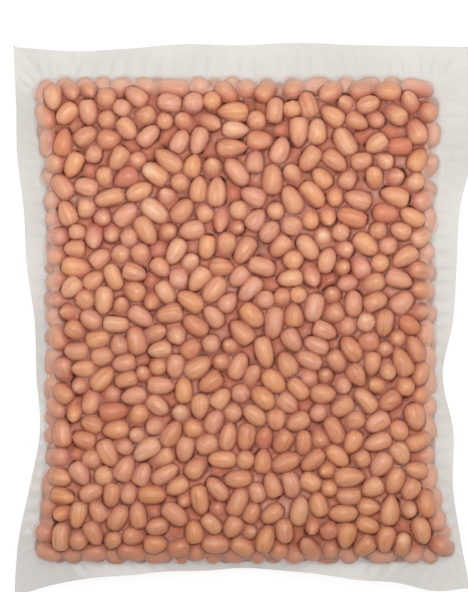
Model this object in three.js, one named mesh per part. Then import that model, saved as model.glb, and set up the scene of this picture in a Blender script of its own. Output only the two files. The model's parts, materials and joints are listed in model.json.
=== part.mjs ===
// A clear vacuum-sealed bag of shelled peanuts, lying flat on its back.
//
// The film is sucked tight over the kernels, so the bag is one solid: a block of kernels whose outer layer
// stands out as bumps, with the two sheets of film sealed together as a thin wavy border round it.
// The kernels are poured at random and pushed apart until they are packed, which gives every bump its place,
// length and lie. Each sheet of film is then one skin, with a faceted dome over each outer kernel and valleys
// between neighbouring kernels. Both sheets run out to the free edge, where a narrow wall closes them.
//
// Millimetres, +Z up. The origin is on the table under the middle of the bag, and +Y points to its top edge.
// While the kernels are packed and the skin is made, z is counted from the plane in which the sheets meet.

import * as THREE from "three";
import { ConvexHull } from "three/addons/math/ConvexHull.js";

// ---- Driving dimensions, in millimetres ----

// The block of kernels. Heights are measured from the plane in which the two sheets are sealed.
const BLOCK = {
  halfLength: 121.4,
  leftHalf: 98.9,
  rightHalf: 96.4,
  height: 19.5, // above the seal plane, at the middle
  depth: 16, // below the seal plane, at the middle
  heightCrown: 4, // how much lower the top is at its edges
  depthCrown: 1,
  edgeRadius: 13,
};

// The film pulls the block out sideways at each corner, by pull, and that dies out over reach.
const CORNERS = {
  topLeft: { pull: 8, reach: 95 },
  topRight: { pull: 6.5, reach: 80 },
  bottomLeft: { pull: 10, reach: 60 },
  bottomRight: { pull: 15, reach: 55 },
};

// Peanut kernels: plump ovals about 13 mm long. The spreads are for a bell-shaped draw.
const KERNEL = {
  count: 1470,
  width: 9.2,
  widthSpread: 0.9,
  ratio: 1.48, // length over width
  ratioSpread: 0.26,
  leastRatio: 1.14,
};

// How the kernels are poured and then pushed apart.
const POUR = {
  seed: 1900,
  steps: 600,
  growSteps: 330, // over which the kernels grow to full size
  firstSize: 0.6,
  wallRoom: 3.5, // least depth of a kernel's middle when it is poured
  listEvery: 10, // steps between lists of neighbours
  listMargin: 1.5,
  ease: 0.35, // share of each push that is applied
  turning: { radius: 0.4, core: 0.5, least: 0.5 }, // what resists a turn, for the squares of r and h
};

const TINY = 1e-9;

// The free edge of the film, as distances from the bag's middle at even steps along each side.
// Top and bottom run from left to right, and the sides from bottom to top.
const FILM_EDGE = {
  halfWidth: 114.8,
  halfLength: 138.2,
  top: [136.2, 134.4, 135.8, 138, 137.2, 138.6, 137.6, 137, 136.5],
  bottom: [138, 132.8, 129, 127.6, 125.8, 125.4, 124.1, 125.4, 127, 129.8, 131.4, 135.6, 134],
  left: [114.4, 112.3, 106.5, 101.4, 103.4, 104.2, 108, 109.6, 113, 113.6, 114.6],
  right: [113.6, 109, 104.8, 105.2, 99.9, 105, 106.8, 108.4, 114.9, 115.6, 115.4],
};

// The sealed border lies in waves, which grow from nothing at the kernels to these heights at the free edge.
const BORDER = {
  thickness: 0.8,
  waves: [
    { height: 1.3, count: 9, phase: 0.6 },
    { height: 0.7, count: 16, phase: 2.1 },
  ],
};

// The film's skin over the outer kernels.
const SKIN = {
  shellDepth: 1.6, // a kernel closer to the film than this carries it
  swell: 1.12, // a dome's corners stand this much outside the kernel's radius, to keep its volume
  endTilt: 0.55, // radians between a dome's end corners and straight out
  sideTilt: 0.7,
  domeShare: 0.55, // the most of the way to its valleys that a dome reaches
  valleyLift: 1.6, // how far a valley lies outside the plane through its kernels' middles
  seamGap: 1.2, // least height of the skin's corners from the seal plane
  restCut: 0.4, // how far the lowest kernels are flattened where the bag rests
};

// The rim, where both sheets leave the kernels and meet.
const RIM = {
  spacing: 9.5, // between stations along the straight sides
  cornerSteps: 5, // stations round each corner
  clearance: 3.5, // least distance, along the film, from a kernel's middle to the rim
  window: 5.5, // a station stands against the kernels that are this close on either side
  leastOut: 0.5, // how far out from the slab's side it stands
  mostOut: 2.5,
};

// ---- Random draws: a small generator that gives the same kernels on every run ----

const DRAW = { factor: 16807, modulus: 2147483647 };

let drawState = POUR.seed;

function draw() {
  drawState = (drawState * DRAW.factor) % DRAW.modulus;
  return drawState / DRAW.modulus;
}

function bell() {
  return draw() + draw() + draw() - 1.5;
}

const clamp = (value, low, high) => Math.min(high, Math.max(low, value));

// ---- The inner face of the film, as a smooth rounded slab with a waist ----

function pulledOut(fromEnd, corner) {
  const share = Math.max(0, 1 - fromEnd / corner.reach);
  return corner.pull * share * share;
}

function sideAt(x, y) {
  const fromTop = Math.max(0, BLOCK.halfLength - y);
  const fromBottom = Math.max(0, BLOCK.halfLength + y);
  return x < 0
    ? BLOCK.leftHalf + pulledOut(fromTop, CORNERS.topLeft) + pulledOut(fromBottom, CORNERS.bottomLeft)
    : BLOCK.rightHalf + pulledOut(fromTop, CORNERS.topRight) + pulledOut(fromBottom, CORNERS.bottomRight);
}

// How thick the block is at this place, on the point's side of the seal plane.
function halfThicknessAt(x, y, z, side) {
  const u = x / side;
  const v = y / BLOCK.halfLength;
  const crown = Math.max(0, 1 - u * u) * Math.max(0, 1 - v * v);
  return z > 0
    ? BLOCK.height - BLOCK.heightCrown + BLOCK.heightCrown * crown
    : BLOCK.depth - BLOCK.depthCrown + BLOCK.depthCrown * crown;
}

// How deep a point lies inside the film, and the way out from it.
function filmFrom(x, y, z) {
  const radius = BLOCK.edgeRadius;
  const side = sideAt(x, y);
  const squeeze = radius / halfThicknessAt(x, y, z, side);
  const qx = Math.max(0, radius - (side - Math.abs(x)));
  const qy = Math.max(0, radius - (BLOCK.halfLength - Math.abs(y)));
  const qz = z * squeeze;
  const far = Math.sqrt(qx * qx + qy * qy + qz * qz) + TINY;
  const nx = (x < 0 ? -qx : qx) / far;
  const ny = (y < 0 ? -qy : qy) / far;
  const nz = (qz * squeeze) / far;
  const steep = Math.sqrt(nx * nx + ny * ny + nz * nz) + TINY;
  return { depth: (radius - far) / steep, nx: nx / steep, ny: ny / steep, nz: nz / steep };
}

// ---- The kernels: each is a rounded rod, with its middle, its axis, its radius r and half its core h ----

function pouredKernel() {
  const width = KERNEL.width + KERNEL.widthSpread * bell();
  const ratio = Math.max(KERNEL.leastRatio, KERNEL.ratio + KERNEL.ratioSpread * bell());
  const r = width / 2;
  let ax, ay, az, square;
  do {
    ax = 2 * draw() - 1;
    ay = 2 * draw() - 1;
    az = 2 * draw() - 1;
    square = ax * ax + ay * ay + az * az;
  } while (square > 1 || square < 0.05);
  const size = Math.sqrt(square);
  let x, y, z;
  do {
    x = (2 * draw() - 1) * (BLOCK.leftHalf + CORNERS.bottomRight.pull);
    y = (2 * draw() - 1) * BLOCK.halfLength;
    z = draw() * (BLOCK.height + BLOCK.depth) - BLOCK.depth;
  } while (filmFrom(x, y, z).depth < POUR.wallRoom);
  return { x, y, z, ax: ax / size, ay: ay / size, az: az / size, r, h: r * (ratio - 1) };
}

function neighbours(kernels) {
  const pairs = [];
  for (let i = 0; i < kernels.length; i++) {
    for (let j = i + 1; j < kernels.length; j++) {
      const a = kernels[i];
      const b = kernels[j];
      const dx = a.x - b.x;
      const dy = a.y - b.y;
      const dz = a.z - b.z;
      const reach = a.r + a.h + (b.r + b.h) + POUR.listMargin;
      if (dx * dx + dy * dy + dz * dz < reach * reach) pairs.push([a, b]);
    }
  }
  return pairs;
}

// Two kernels that overlap push each other apart, and turn each other, where their cores come closest.
function pushApart(a, b, grown) {
  const px = a.ax * a.h * grown;
  const py = a.ay * a.h * grown;
  const pz = a.az * a.h * grown;
  const qx = b.ax * b.h * grown;
  const qy = b.ay * b.h * grown;
  const qz = b.az * b.h * grown;
  const wx = a.x - b.x;
  const wy = a.y - b.y;
  const wz = a.z - b.z;
  const pp = px * px + py * py + pz * pz + TINY;
  const pq = px * qx + py * qy + pz * qz;
  const qq = qx * qx + qy * qy + qz * qz + TINY;
  const pw = px * wx + py * wy + pz * wz;
  const qw = qx * wx + qy * wy + qz * wz;
  const first = clamp((pq * qw - qq * pw) / (pp * qq - pq * pq + 1e-6), -1, 1);
  const t = clamp((pq * first + qw) / qq, -1, 1);
  const s = clamp((pq * t - pw) / pp, -1, 1);
  const gx = wx + s * px - t * qx;
  const gy = wy + s * py - t * qy;
  const gz = wz + s * pz - t * qz;
  const gap = Math.sqrt(gx * gx + gy * gy + gz * gz) + TINY;
  const overlap = (a.r + b.r) * grown - gap;
  if (overlap <= 0) return;
  const half = (overlap * 0.5) / gap;
  addPush(a.forward, gx * half, gy * half, gz * half, s * a.h);
  addPush(b.backward, gx * half, gy * half, gz * half, t * b.h);
}

function addPush(sum, x, y, z, arm) {
  sum[0] += x;
  sum[1] += y;
  sum[2] += z;
  sum[3] += x * arm;
  sum[4] += y * arm;
  sum[5] += z * arm;
}

// The film pushes a kernel's two ends back in, and the kernel then takes its share of all the pushes on it.
function settle(k, grown) {
  const inward = [0, 0, 0, 0, 0, 0];
  for (const end of [-1, 1]) {
    const reach = end * k.h * grown;
    const film = filmFrom(k.x + k.ax * reach, k.y + k.ay * reach, k.z + k.az * reach);
    const over = Math.max(0, k.r * grown - film.depth);
    addPush(inward, film.nx * over, film.ny * over, film.nz * over, end * k.h);
  }
  const push = inward.map((value, i) => k.forward[i] - k.backward[i] - value);
  const { radius, core, least } = POUR.turning;
  const spin = POUR.ease / (k.r * k.r * radius + k.h * k.h * core + least);
  k.x += push[0] * POUR.ease;
  k.y += push[1] * POUR.ease;
  k.z += push[2] * POUR.ease;
  const ax = k.ax + push[3] * spin;
  const ay = k.ay + push[4] * spin;
  const az = k.az + push[5] * spin;
  const size = Math.sqrt(ax * ax + ay * ay + az * az);
  k.ax = ax / size;
  k.ay = ay / size;
  k.az = az / size;
}

function packKernels() {
  const kernels = Array.from({ length: KERNEL.count }, pouredKernel);
  let pairs = [];
  for (let step = 0; step < POUR.steps; step++) {
    const grown = Math.min(1, POUR.firstSize + ((1 - POUR.firstSize) * step) / POUR.growSteps);
    if (step % POUR.listEvery === 0) pairs = neighbours(kernels);
    for (const k of kernels) {
      k.forward = [0, 0, 0, 0, 0, 0];
      k.backward = [0, 0, 0, 0, 0, 0];
    }
    for (const [a, b] of pairs) pushApart(a, b, grown);
    for (const k of kernels) settle(k, grown);
  }
  return kernels;
}

// ---- The film unrolled flat: the slab with its waist straightened and its rounded edges laid out ----

const FLAT_HALF = (BLOCK.leftHalf + BLOCK.rightHalf) / 2;
const CORE_X = FLAT_HALF - BLOCK.edgeRadius;
const CORE_Y = BLOCK.halfLength - BLOCK.edgeRadius;
const RIM_ARC = (BLOCK.edgeRadius * Math.PI) / 2;

function unrolled(p) {
  const side = sideAt(p.x, p.y);
  const u = (p.x * FLAT_HALF) / side;
  const coreX = clamp(u, -CORE_X, CORE_X);
  const coreY = clamp(p.y, -CORE_Y, CORE_Y);
  const out = new THREE.Vector2(u - coreX, p.y - coreY);
  const up = (Math.abs(p.z) * BLOCK.edgeRadius) / halfThicknessAt(p.x, p.y, p.z, side);
  const arc = BLOCK.edgeRadius * Math.atan2(out.length(), up);
  out.setLength(Math.min(arc, RIM_ARC - RIM.clearance));
  return new THREE.Vector2(coreX, coreY).add(out);
}

// Stations round the rim, where both sheets meet: a point of the straight core and the way out from it.
function rimStations() {
  const stations = [];
  const corners = [
    [1, 1],
    [-1, 1],
    [-1, -1],
    [1, -1],
  ];
  corners.forEach(([sx, sy], i) => {
    const [ex, ey] = corners[(i + 1) % 4];
    const from = new THREE.Vector2(sx * CORE_X, sy * CORE_Y);
    const to = new THREE.Vector2(ex * CORE_X, ey * CORE_Y);
    const count = Math.round(from.distanceTo(to) / RIM.spacing);
    const start = Math.PI / 4 + (i * Math.PI) / 2;
    for (let k = 0; k < RIM.cornerSteps; k++) {
      const angle = start + ((k + 0.5) / RIM.cornerSteps - 0.5) * (Math.PI / 2);
      stations.push({ core: from, out: new THREE.Vector2(Math.cos(angle), Math.sin(angle)) });
    }
    const out = new THREE.Vector2(Math.cos(start + Math.PI / 4), Math.sin(start + Math.PI / 4));
    for (let k = 0; k <= count; k++) stations.push({ core: from.clone().lerp(to, k / count), out });
  });
  return stations;
}

// A rim point stands against the outermost kernel beside it, on the seal plane.
function rimPoint(station, kernels) {
  const flat = station.core.clone().addScaledVector(station.out, BLOCK.edgeRadius);
  const x = (flat.x * sideAt(flat.x, flat.y)) / FLAT_HALF;
  let reach = RIM.leastOut;
  for (const k of kernels) {
    const dx = k.x - x;
    const dy = k.y - flat.y;
    const across = Math.abs(dy * station.out.x - dx * station.out.y);
    if (across > RIM.window || Math.abs(k.z) > BLOCK.edgeRadius / 2) continue;
    const along = dx * station.out.x + dy * station.out.y;
    if (along < -BLOCK.edgeRadius) continue;
    reach = Math.max(reach, along + k.h * Math.abs(k.ax * station.out.x + k.ay * station.out.y) + k.r);
  }
  reach = Math.min(reach, RIM.mostOut);
  return new THREE.Vector3(x + station.out.x * reach, flat.y + station.out.y * reach, 0);
}

// ---- The free edge of the film ----

// A smooth curve through evenly spaced distances, at a share from -1 to 1 of the way along them.
function smoothAt(distances, share) {
  const steps = distances.length - 1;
  const place = clamp(((share + 1) / 2) * steps, 0, steps);
  const i = Math.min(steps - 1, Math.floor(place));
  const t = place - i;
  const at = (n) => distances[clamp(n, 0, steps)];
  const [before, from, to, after] = [at(i - 1), at(i), at(i + 1), at(i + 2)];
  const step = to - from;
  const slopeFrom = (to - before) / 2;
  const slopeTo = (after - from) / 2;
  const bend = 3 * step - 2 * slopeFrom - slopeTo;
  const twist = slopeFrom + slopeTo - 2 * step;
  return from + t * (slopeFrom + t * (bend + t * twist));
}

// The point of the free edge that lies straight out from a station.
function edgePoint(station, turn) {
  const { halfWidth, halfLength, top, bottom, left, right } = FILM_EDGE;
  const { core, out } = station;
  const steepest = Math.max(Math.abs(out.x), Math.abs(out.y));
  const x = core.x + ((halfWidth - CORE_X) * out.x) / steepest;
  const y = core.y + ((halfLength - CORE_Y) * out.y) / steepest;
  const across = smoothAt(x < 0 ? left : right, y / halfLength);
  const along = smoothAt(y < 0 ? bottom : top, x / halfWidth);
  const z = BORDER.waves.reduce((sum, w) => sum + w.height * Math.sin(w.count * turn + w.phase), 0);
  return new THREE.Vector3(
    Math.abs(out.x) === steepest ? Math.sign(x) * across : x,
    Math.abs(out.y) === steepest ? Math.sign(y) * along : y,
    z,
  );
}

// ---- The skin: a dome over each outer kernel ----

// The four corners of a kernel's dome, on its own surface, in turn an end and a side. Seen from straight
// above they run anticlockwise, also on the lower sheet.
function domeCorners(k, side) {
  const axis = new THREE.Vector3(k.ax, k.ay, k.az);
  const out = new THREE.Vector3(k.film.nx, k.film.ny, k.film.nz);
  const along = axis.clone().addScaledVector(out, -axis.dot(out)).normalize();
  const across = out.clone().cross(along).multiplyScalar(side);
  const radius = k.r * SKIN.swell;
  const corner = (end, direction, tilt) =>
    new THREE.Vector3(k.x, k.y, k.z)
      .addScaledVector(axis, end * k.h)
      .addScaledVector(out, radius * Math.cos(tilt))
      .addScaledVector(direction, radius * Math.sin(tilt));
  return [
    corner(1, along, SKIN.endTilt),
    corner(0, across, SKIN.sideTilt),
    corner(-1, along, -SKIN.endTilt),
    corner(0, across, -SKIN.sideTilt),
  ];
}

const wrapped = (angle) => (angle + 4 * Math.PI) % (2 * Math.PI);

const angleFrom = (from, to) => wrapped(Math.atan2(to.y - from.y, to.x - from.x));

// How far a ray from a point runs before it leaves a ring of flat points.
function reachInRing(from, direction, ring) {
  let reach = Infinity;
  ring.forEach((a, n) => {
    const b = ring[(n + 1) % ring.length];
    const edge = b.clone().sub(a);
    const to = a.clone().sub(from);
    const slope = direction.cross(edge);
    if (Math.abs(slope) < TINY) return;
    const far = to.cross(edge) / slope;
    const share = to.cross(direction) / slope;
    if (far > 0 && share >= 0 && share <= 1) reach = Math.min(reach, far);
  });
  return reach;
}

// Triangles of the flat map in which no corner lies inside another's circle: the upper side of the hull of
// the points raised onto a paraboloid.
function mapTriangles(points) {
  const raised = points.map((p, i) => {
    const v = new THREE.Vector3(p.x, p.y, -(p.x * p.x + p.y * p.y) / BLOCK.halfLength);
    v.index = i;
    return v;
  });
  const hull = new ConvexHull().setFromPoints(raised);
  return hull.faces
    .filter((face) => face.normal.z > 1e-6)
    .map((face) => [0, 1, 2].map((n) => face.getEdge(n).head().point.index));
}

// One sheet of film, upper (+1) or lower (-1), over its own kernels and out to the rim.
class Sheet {
  constructor(side, shell, stations, rim) {
    this.side = side;
    this.rim = rim;
    this.kernels = shell.filter((k) => (side > 0 ? k.z >= 0 : k.z < 0));
    this.flat = [
      ...this.kernels.map(unrolled),
      ...stations.map((s) => s.core.clone().addScaledVector(s.out, RIM_ARC)),
    ];
    this.faces = mapTriangles(this.flat);
    const lifted = [...this.kernels.map((k) => this.above(k, SKIN.valleyLift)), ...rim];
    this.valleys = this.faces.map((face) => this.kept(this.middle(face, lifted, new THREE.Vector3())));
    this.flatValleys = this.faces.map((face) => this.middle(face, this.flat, new THREE.Vector2()));
  }

  // A point this far straight out from a kernel's middle.
  above(k, height) {
    return new THREE.Vector3(k.film.nx, k.film.ny, k.film.nz).multiplyScalar(height).add(k);
  }

  // Moves a point off the seal plane to this sheet's side, and up to the table.
  kept(point) {
    point.z = this.side * Math.max(SKIN.seamGap, this.side * point.z);
    point.z = Math.max(point.z, SKIN.restCut - BLOCK.depth);
    return point;
  }

  middle(face, places, sum) {
    return face.reduce((total, i) => total.add(places[i]), sum).divideScalar(face.length);
  }

  // All triangles, anticlockwise as seen from straight above.
  triangles() {
    const edgeKey = (from, to) => from * this.flat.length + to;
    const faceAt = new Map();
    const rings = this.kernels.map(() => []);
    const made = [];
    this.faces.forEach((face, f) => {
      face.forEach((from, n) => {
        faceAt.set(edgeKey(from, face[(n + 1) % 3]), f);
        if (from >= this.kernels.length) return;
        const angle = angleFrom(this.flat[from], this.flatValleys[f]);
        rings[from].push({ point: this.valleys[f], flat: this.flatValleys[f], angle });
      });
    });
    this.faces.forEach((face, f) => {
      face.forEach((from, n) => {
        const start = this.rim[from - this.kernels.length];
        if (!start) return;
        const to = face[(n + 1) % 3];
        const beside = faceAt.get(edgeKey(to, from));
        const end = beside === undefined ? this.rim[to - this.kernels.length] : this.valleys[beside];
        made.push([start, end, this.valleys[f]]);
      });
    });
    this.kernels.forEach((k, i) => {
      const ring = rings[i].sort((p, q) => p.angle - q.angle);
      made.push(...this.dome(k, this.flat[i], ring));
    });
    return made;
  }

  // A flat top of four corners, and a band of triangles from it down to the ring of valleys.
  dome(k, centre, ring) {
    const apex = this.above(k, k.r * SKIN.swell);
    const outline = ring.map((p) => p.flat);
    const corners = domeCorners(k, this.side);
    const away = unrolled(corners[0]).sub(unrolled(corners[2])).normalize();
    const top = corners.map((corner) => {
      const reach = SKIN.domeShare * reachInRing(centre, away, outline);
      const share = Math.min(1, reach / unrolled(corner).distanceTo(centre));
      const point = this.kept(apex.clone().lerp(corner, share));
      const angle = wrapped(Math.atan2(away.y, away.x));
      away.set(-away.y, away.x);
      return { point, angle, inner: true };
    });
    const made = [
      [top[0].point, top[1].point, top[2].point],
      [top[0].point, top[2].point, top[3].point],
    ];
    const round = [...ring, ...top].sort((p, q) => p.angle - q.angle);
    let outer = round.findLast((p) => !p.inner).point;
    let inner = round.findLast((p) => p.inner).point;
    for (const next of round) {
      made.push([outer, next.point, inner]);
      if (next.inner) inner = next.point;
      else outer = next.point;
    }
    return made;
  }
}

// ---- The bag: both sheets, out to the free edge, and the wall that closes them there ----

// The kernels that carry the film: those whose middle or either end lies against it.
function shellOf(kernels) {
  return kernels.filter((k) => {
    k.film = filmFrom(k.x, k.y, k.z);
    const gaps = [-k.h, 0, k.h].map((reach) => {
      return filmFrom(k.x + k.ax * reach, k.y + k.ay * reach, k.z + k.az * reach).depth - k.r;
    });
    return Math.min(...gaps) < SKIN.shellDepth;
  });
}

// A closed band of triangles between two rings of points.
function band(inner, outer) {
  return inner.flatMap((point, i) => {
    const next = (i + 1) % inner.length;
    return [
      [point, outer[i], outer[next]],
      [point, outer[next], inner[next]],
    ];
  });
}

function bagGeometry() {
  const shell = shellOf(packKernels());
  const stations = rimStations();
  const rim = stations.map((station) => rimPoint(station, shell));
  const edge = stations.map((station, i) => edgePoint(station, (2 * Math.PI * i) / stations.length));
  const face = (points, side) =>
    points.map((p) => new THREE.Vector3(p.x, p.y, p.z + (side * BORDER.thickness) / 2));
  const upperRim = face(rim, 1);
  const upperEdge = face(edge, 1);
  const lowerRim = face(rim, -1);
  const lowerEdge = face(edge, -1);

  const upper = [...new Sheet(1, shell, stations, upperRim).triangles(), ...band(upperRim, upperEdge)];
  const lower = [...new Sheet(-1, shell, stations, lowerRim).triangles(), ...band(lowerRim, lowerEdge)];
  const corners = [...upper, ...band(upperEdge, lowerEdge), ...lower.map((t) => t.toReversed())].flat();
  const points = [...new Set(corners)];
  const numberOf = new Map(points.map((p, i) => [p, i]));
  const geometry = new THREE.BufferGeometry().setFromPoints(points);
  geometry.setIndex(corners.map((p) => numberOf.get(p)));
  geometry.computeBoundingBox();
  const middle = geometry.boundingBox.getCenter(new THREE.Vector3());
  return geometry.translate(-middle.x, -middle.y, BLOCK.depth - SKIN.restCut);
}

const bag = new THREE.Mesh(
  bagGeometry(),
  new THREE.MeshStandardMaterial({ color: 0xc8926f, roughness: 0.35, metalness: 0 }),
);
bag.name = "peanut_bag";

const part = new THREE.Group();
part.add(bag);

export default part;
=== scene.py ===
"""A clear vacuum-sealed bag of shelled peanuts, lying flat on its back.

The kernels are poured and packed by the same seeded rule as in the CAD part, so each one that holds the film
lies under its own bump there. Loose ones then rise into the hollows between those. Both sheets of film
are drawn tight over the kernels and out to the bag's free edge, and the kernels' meshes are kept under them.

Sizes are in millimetres until a mesh is made, and metres in the meshes. Until then z is counted from the
plane in which the two sheets of film are sealed, and an array of places has x, y and z along its first axis.
"""

import sys

import json
import logging
import math
from collections.abc import Iterable, Sequence
from dataclasses import dataclass, field
from enum import Enum

import bpy
import numpy as np
from mathutils import Matrix, Quaternion, Vector
from mathutils.bvhtree import BVHTree
from mathutils.kdtree import KDTree

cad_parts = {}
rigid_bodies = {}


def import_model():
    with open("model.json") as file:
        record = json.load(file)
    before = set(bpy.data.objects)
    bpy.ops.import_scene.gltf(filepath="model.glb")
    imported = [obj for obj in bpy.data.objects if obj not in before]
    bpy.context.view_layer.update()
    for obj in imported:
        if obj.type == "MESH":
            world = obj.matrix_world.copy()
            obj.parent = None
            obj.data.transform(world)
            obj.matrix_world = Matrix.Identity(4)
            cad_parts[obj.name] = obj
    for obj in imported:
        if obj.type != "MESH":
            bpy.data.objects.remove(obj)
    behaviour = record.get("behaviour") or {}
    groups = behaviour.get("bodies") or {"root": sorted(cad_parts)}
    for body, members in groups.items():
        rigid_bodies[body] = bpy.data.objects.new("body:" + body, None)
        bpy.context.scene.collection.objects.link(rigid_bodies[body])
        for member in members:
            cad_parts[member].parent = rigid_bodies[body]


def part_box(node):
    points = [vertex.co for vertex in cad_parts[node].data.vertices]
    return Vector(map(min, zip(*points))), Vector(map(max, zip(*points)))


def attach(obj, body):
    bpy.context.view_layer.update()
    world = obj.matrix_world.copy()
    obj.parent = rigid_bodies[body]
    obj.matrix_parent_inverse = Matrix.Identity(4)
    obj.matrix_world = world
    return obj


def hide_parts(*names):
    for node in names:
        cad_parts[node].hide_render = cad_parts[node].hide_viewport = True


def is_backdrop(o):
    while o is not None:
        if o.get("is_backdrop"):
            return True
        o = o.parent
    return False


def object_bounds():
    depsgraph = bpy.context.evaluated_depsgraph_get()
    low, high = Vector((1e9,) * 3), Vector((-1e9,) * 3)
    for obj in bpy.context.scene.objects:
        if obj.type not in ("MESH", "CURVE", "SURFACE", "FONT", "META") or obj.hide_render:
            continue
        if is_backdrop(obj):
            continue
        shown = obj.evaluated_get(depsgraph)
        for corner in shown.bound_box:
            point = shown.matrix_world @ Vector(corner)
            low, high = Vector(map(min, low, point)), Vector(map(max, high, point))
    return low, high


MM = 0.001
TINY = 1e-9
CLOSE = 1e-6
NODE = "peanut_bag"

LOG = logging.getLogger("peanut_bag")

Colour = tuple[float, float, float]
Triple = tuple[float, float, float]
Range = tuple[float, float]
Pairs = tuple[np.ndarray, np.ndarray]
Socket = bpy.types.NodeSocket
Inputs = dict[int | str, object]
Mesh = bpy.types.Mesh
Piece = bpy.types.Object
Material = bpy.types.Material


# ---- The block of kernels, as a smooth rounded slab ----


@dataclass(frozen=True)
class Corner:
    """How the film pulls the block out sideways at one corner: by pull, dying out over reach."""

    pull: float
    reach: float

    def pulled(self, from_end: np.ndarray) -> np.ndarray:
        """The sideways pull at these distances from the end of the block."""
        share = np.maximum(0, 1 - from_end / self.reach)
        return self.pull * share * share


@dataclass(frozen=True)
class KernelBlock:
    """The inner face of the film: a rounded slab with a waist, crowned above and below the seal plane."""

    half_length: float = 121.4
    left_half: float = 98.9
    right_half: float = 96.4
    height: float = 19.5
    depth: float = 16.0
    height_crown: float = 4.0
    depth_crown: float = 1.0
    edge_radius: float = 13.0
    rest_cut: float = 0.4
    top_left: Corner = Corner(8.0, 95.0)
    top_right: Corner = Corner(6.5, 80.0)
    bottom_left: Corner = Corner(10.0, 60.0)
    bottom_right: Corner = Corner(15.0, 55.0)

    @property
    def flat_half(self) -> float:
        """Half the width of the block once its waist is straightened."""
        return (self.left_half + self.right_half) / 2

    @property
    def core(self) -> np.ndarray:
        """Half the width and half the length of the part inside the rounded edge."""
        return np.array([self.flat_half - self.edge_radius, self.half_length - self.edge_radius])

    @property
    def rim_arc(self) -> float:
        """The length along the film from the flat top round the edge to the seal plane."""
        return self.edge_radius * math.pi / 2

    @property
    def table(self) -> float:
        """The height of the table under the bag, counted from the seal plane."""
        return self.rest_cut - self.depth

    def side_at(self, x: np.ndarray, y: np.ndarray) -> np.ndarray:
        """How far the block reaches from its middle line to the side that x is on, at y.

        Args:
            x: Places across, of which only the sign counts.
            y: Places along.

        Returns:
            The distance at each place.
        """
        from_top = np.maximum(0, self.half_length - y)
        from_bottom = np.maximum(0, self.half_length + y)
        left = self.left_half + self.top_left.pulled(from_top) + self.bottom_left.pulled(from_bottom)
        right = self.right_half + self.top_right.pulled(from_top) + self.bottom_right.pulled(from_bottom)
        return np.where(x < 0, left, right)

    def half_thickness(self, u: np.ndarray, v: np.ndarray, above: np.ndarray) -> np.ndarray:
        """How thick the block is on one side of the seal plane.

        Args:
            u: Place across, as a share of the way to the side.
            v: Place along, as a share of the way to the end.
            above: Where true, the side above the seal plane is meant.

        Returns:
            The distance from the seal plane to the film.
        """
        crown = np.maximum(0, 1 - u * u) * np.maximum(0, 1 - v * v)
        high = self.height - self.height_crown + self.height_crown * crown
        low = self.depth - self.depth_crown + self.depth_crown * crown
        return np.where(above, high, low)

    def film_from(self, point: np.ndarray) -> tuple[np.ndarray, np.ndarray]:
        """How deep points lie inside the film, and the way out from them.

        Args:
            point: The places of the points.

        Returns:
            The depths, and unit vectors outwards in the layout of point.
        """
        x, y, z = point
        radius = self.edge_radius
        side = self.side_at(x, y)
        squeeze = radius / self.half_thickness(x / side, y / self.half_length, z > 0)
        qx = np.maximum(0, radius - (side - np.abs(x)))
        qy = np.maximum(0, radius - (self.half_length - np.abs(y)))
        qz = z * squeeze
        far = np.sqrt(qx * qx + qy * qy + qz * qz) + TINY
        away = (np.where(x < 0, -qx, qx), np.where(y < 0, -qy, qy), qz * squeeze)
        out = np.array([part / far for part in away])
        steep = np.sqrt(dot(out, out)) + TINY
        return (radius - far) / steep, out / steep


def dot(a: np.ndarray, b: np.ndarray) -> np.ndarray:
    """The dot product of each two vectors."""
    return a[0] * b[0] + a[1] * b[1] + a[2] * b[2]


# ---- The kernels: where they lie, how long they are and which way they point ----


class Draws:
    """A small generator of random numbers that gives the same kernels as the CAD part's."""

    FACTOR = 16807
    MODULUS = 2147483647

    def __init__(self, seed: int) -> None:
        """Starts the generator at its seed."""
        self.state = seed

    def share(self) -> float:
        """A number from 0 to 1."""
        self.state = (self.state * self.FACTOR) % self.MODULUS
        return self.state / self.MODULUS

    def bell(self) -> float:
        """A number from -1.5 to 1.5, mostly near 0."""
        return self.share() + self.share() + self.share() - 1.5


@dataclass
class Kernels:
    """Kernels as rounded rods: the middle, unit axis, radius and half the core of each."""

    middle: np.ndarray
    axis: np.ndarray
    radius: np.ndarray
    core: np.ndarray

    def __len__(self) -> int:
        """How many kernels there are."""
        return len(self.radius)

    def those(self, chosen: np.ndarray) -> "Kernels":
        """The kernels that a mask or list of numbers picks."""
        return Kernels(self.middle[:, chosen], self.axis[:, chosen], self.radius[chosen], self.core[chosen])

    def gap_to_film(self, block: KernelBlock) -> np.ndarray:
        """The least gap between each kernel and the film, at its middle or either end.

        Args:
            block: The slab that the film makes.

        Returns:
            The gap for each kernel.
        """
        gaps = []
        for end in (-1, 0, 1):
            depth, _ = block.film_from(self.middle + self.axis * (end * self.core))
            gaps.append(depth - self.radius)
        return np.min(gaps, axis=0)


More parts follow.
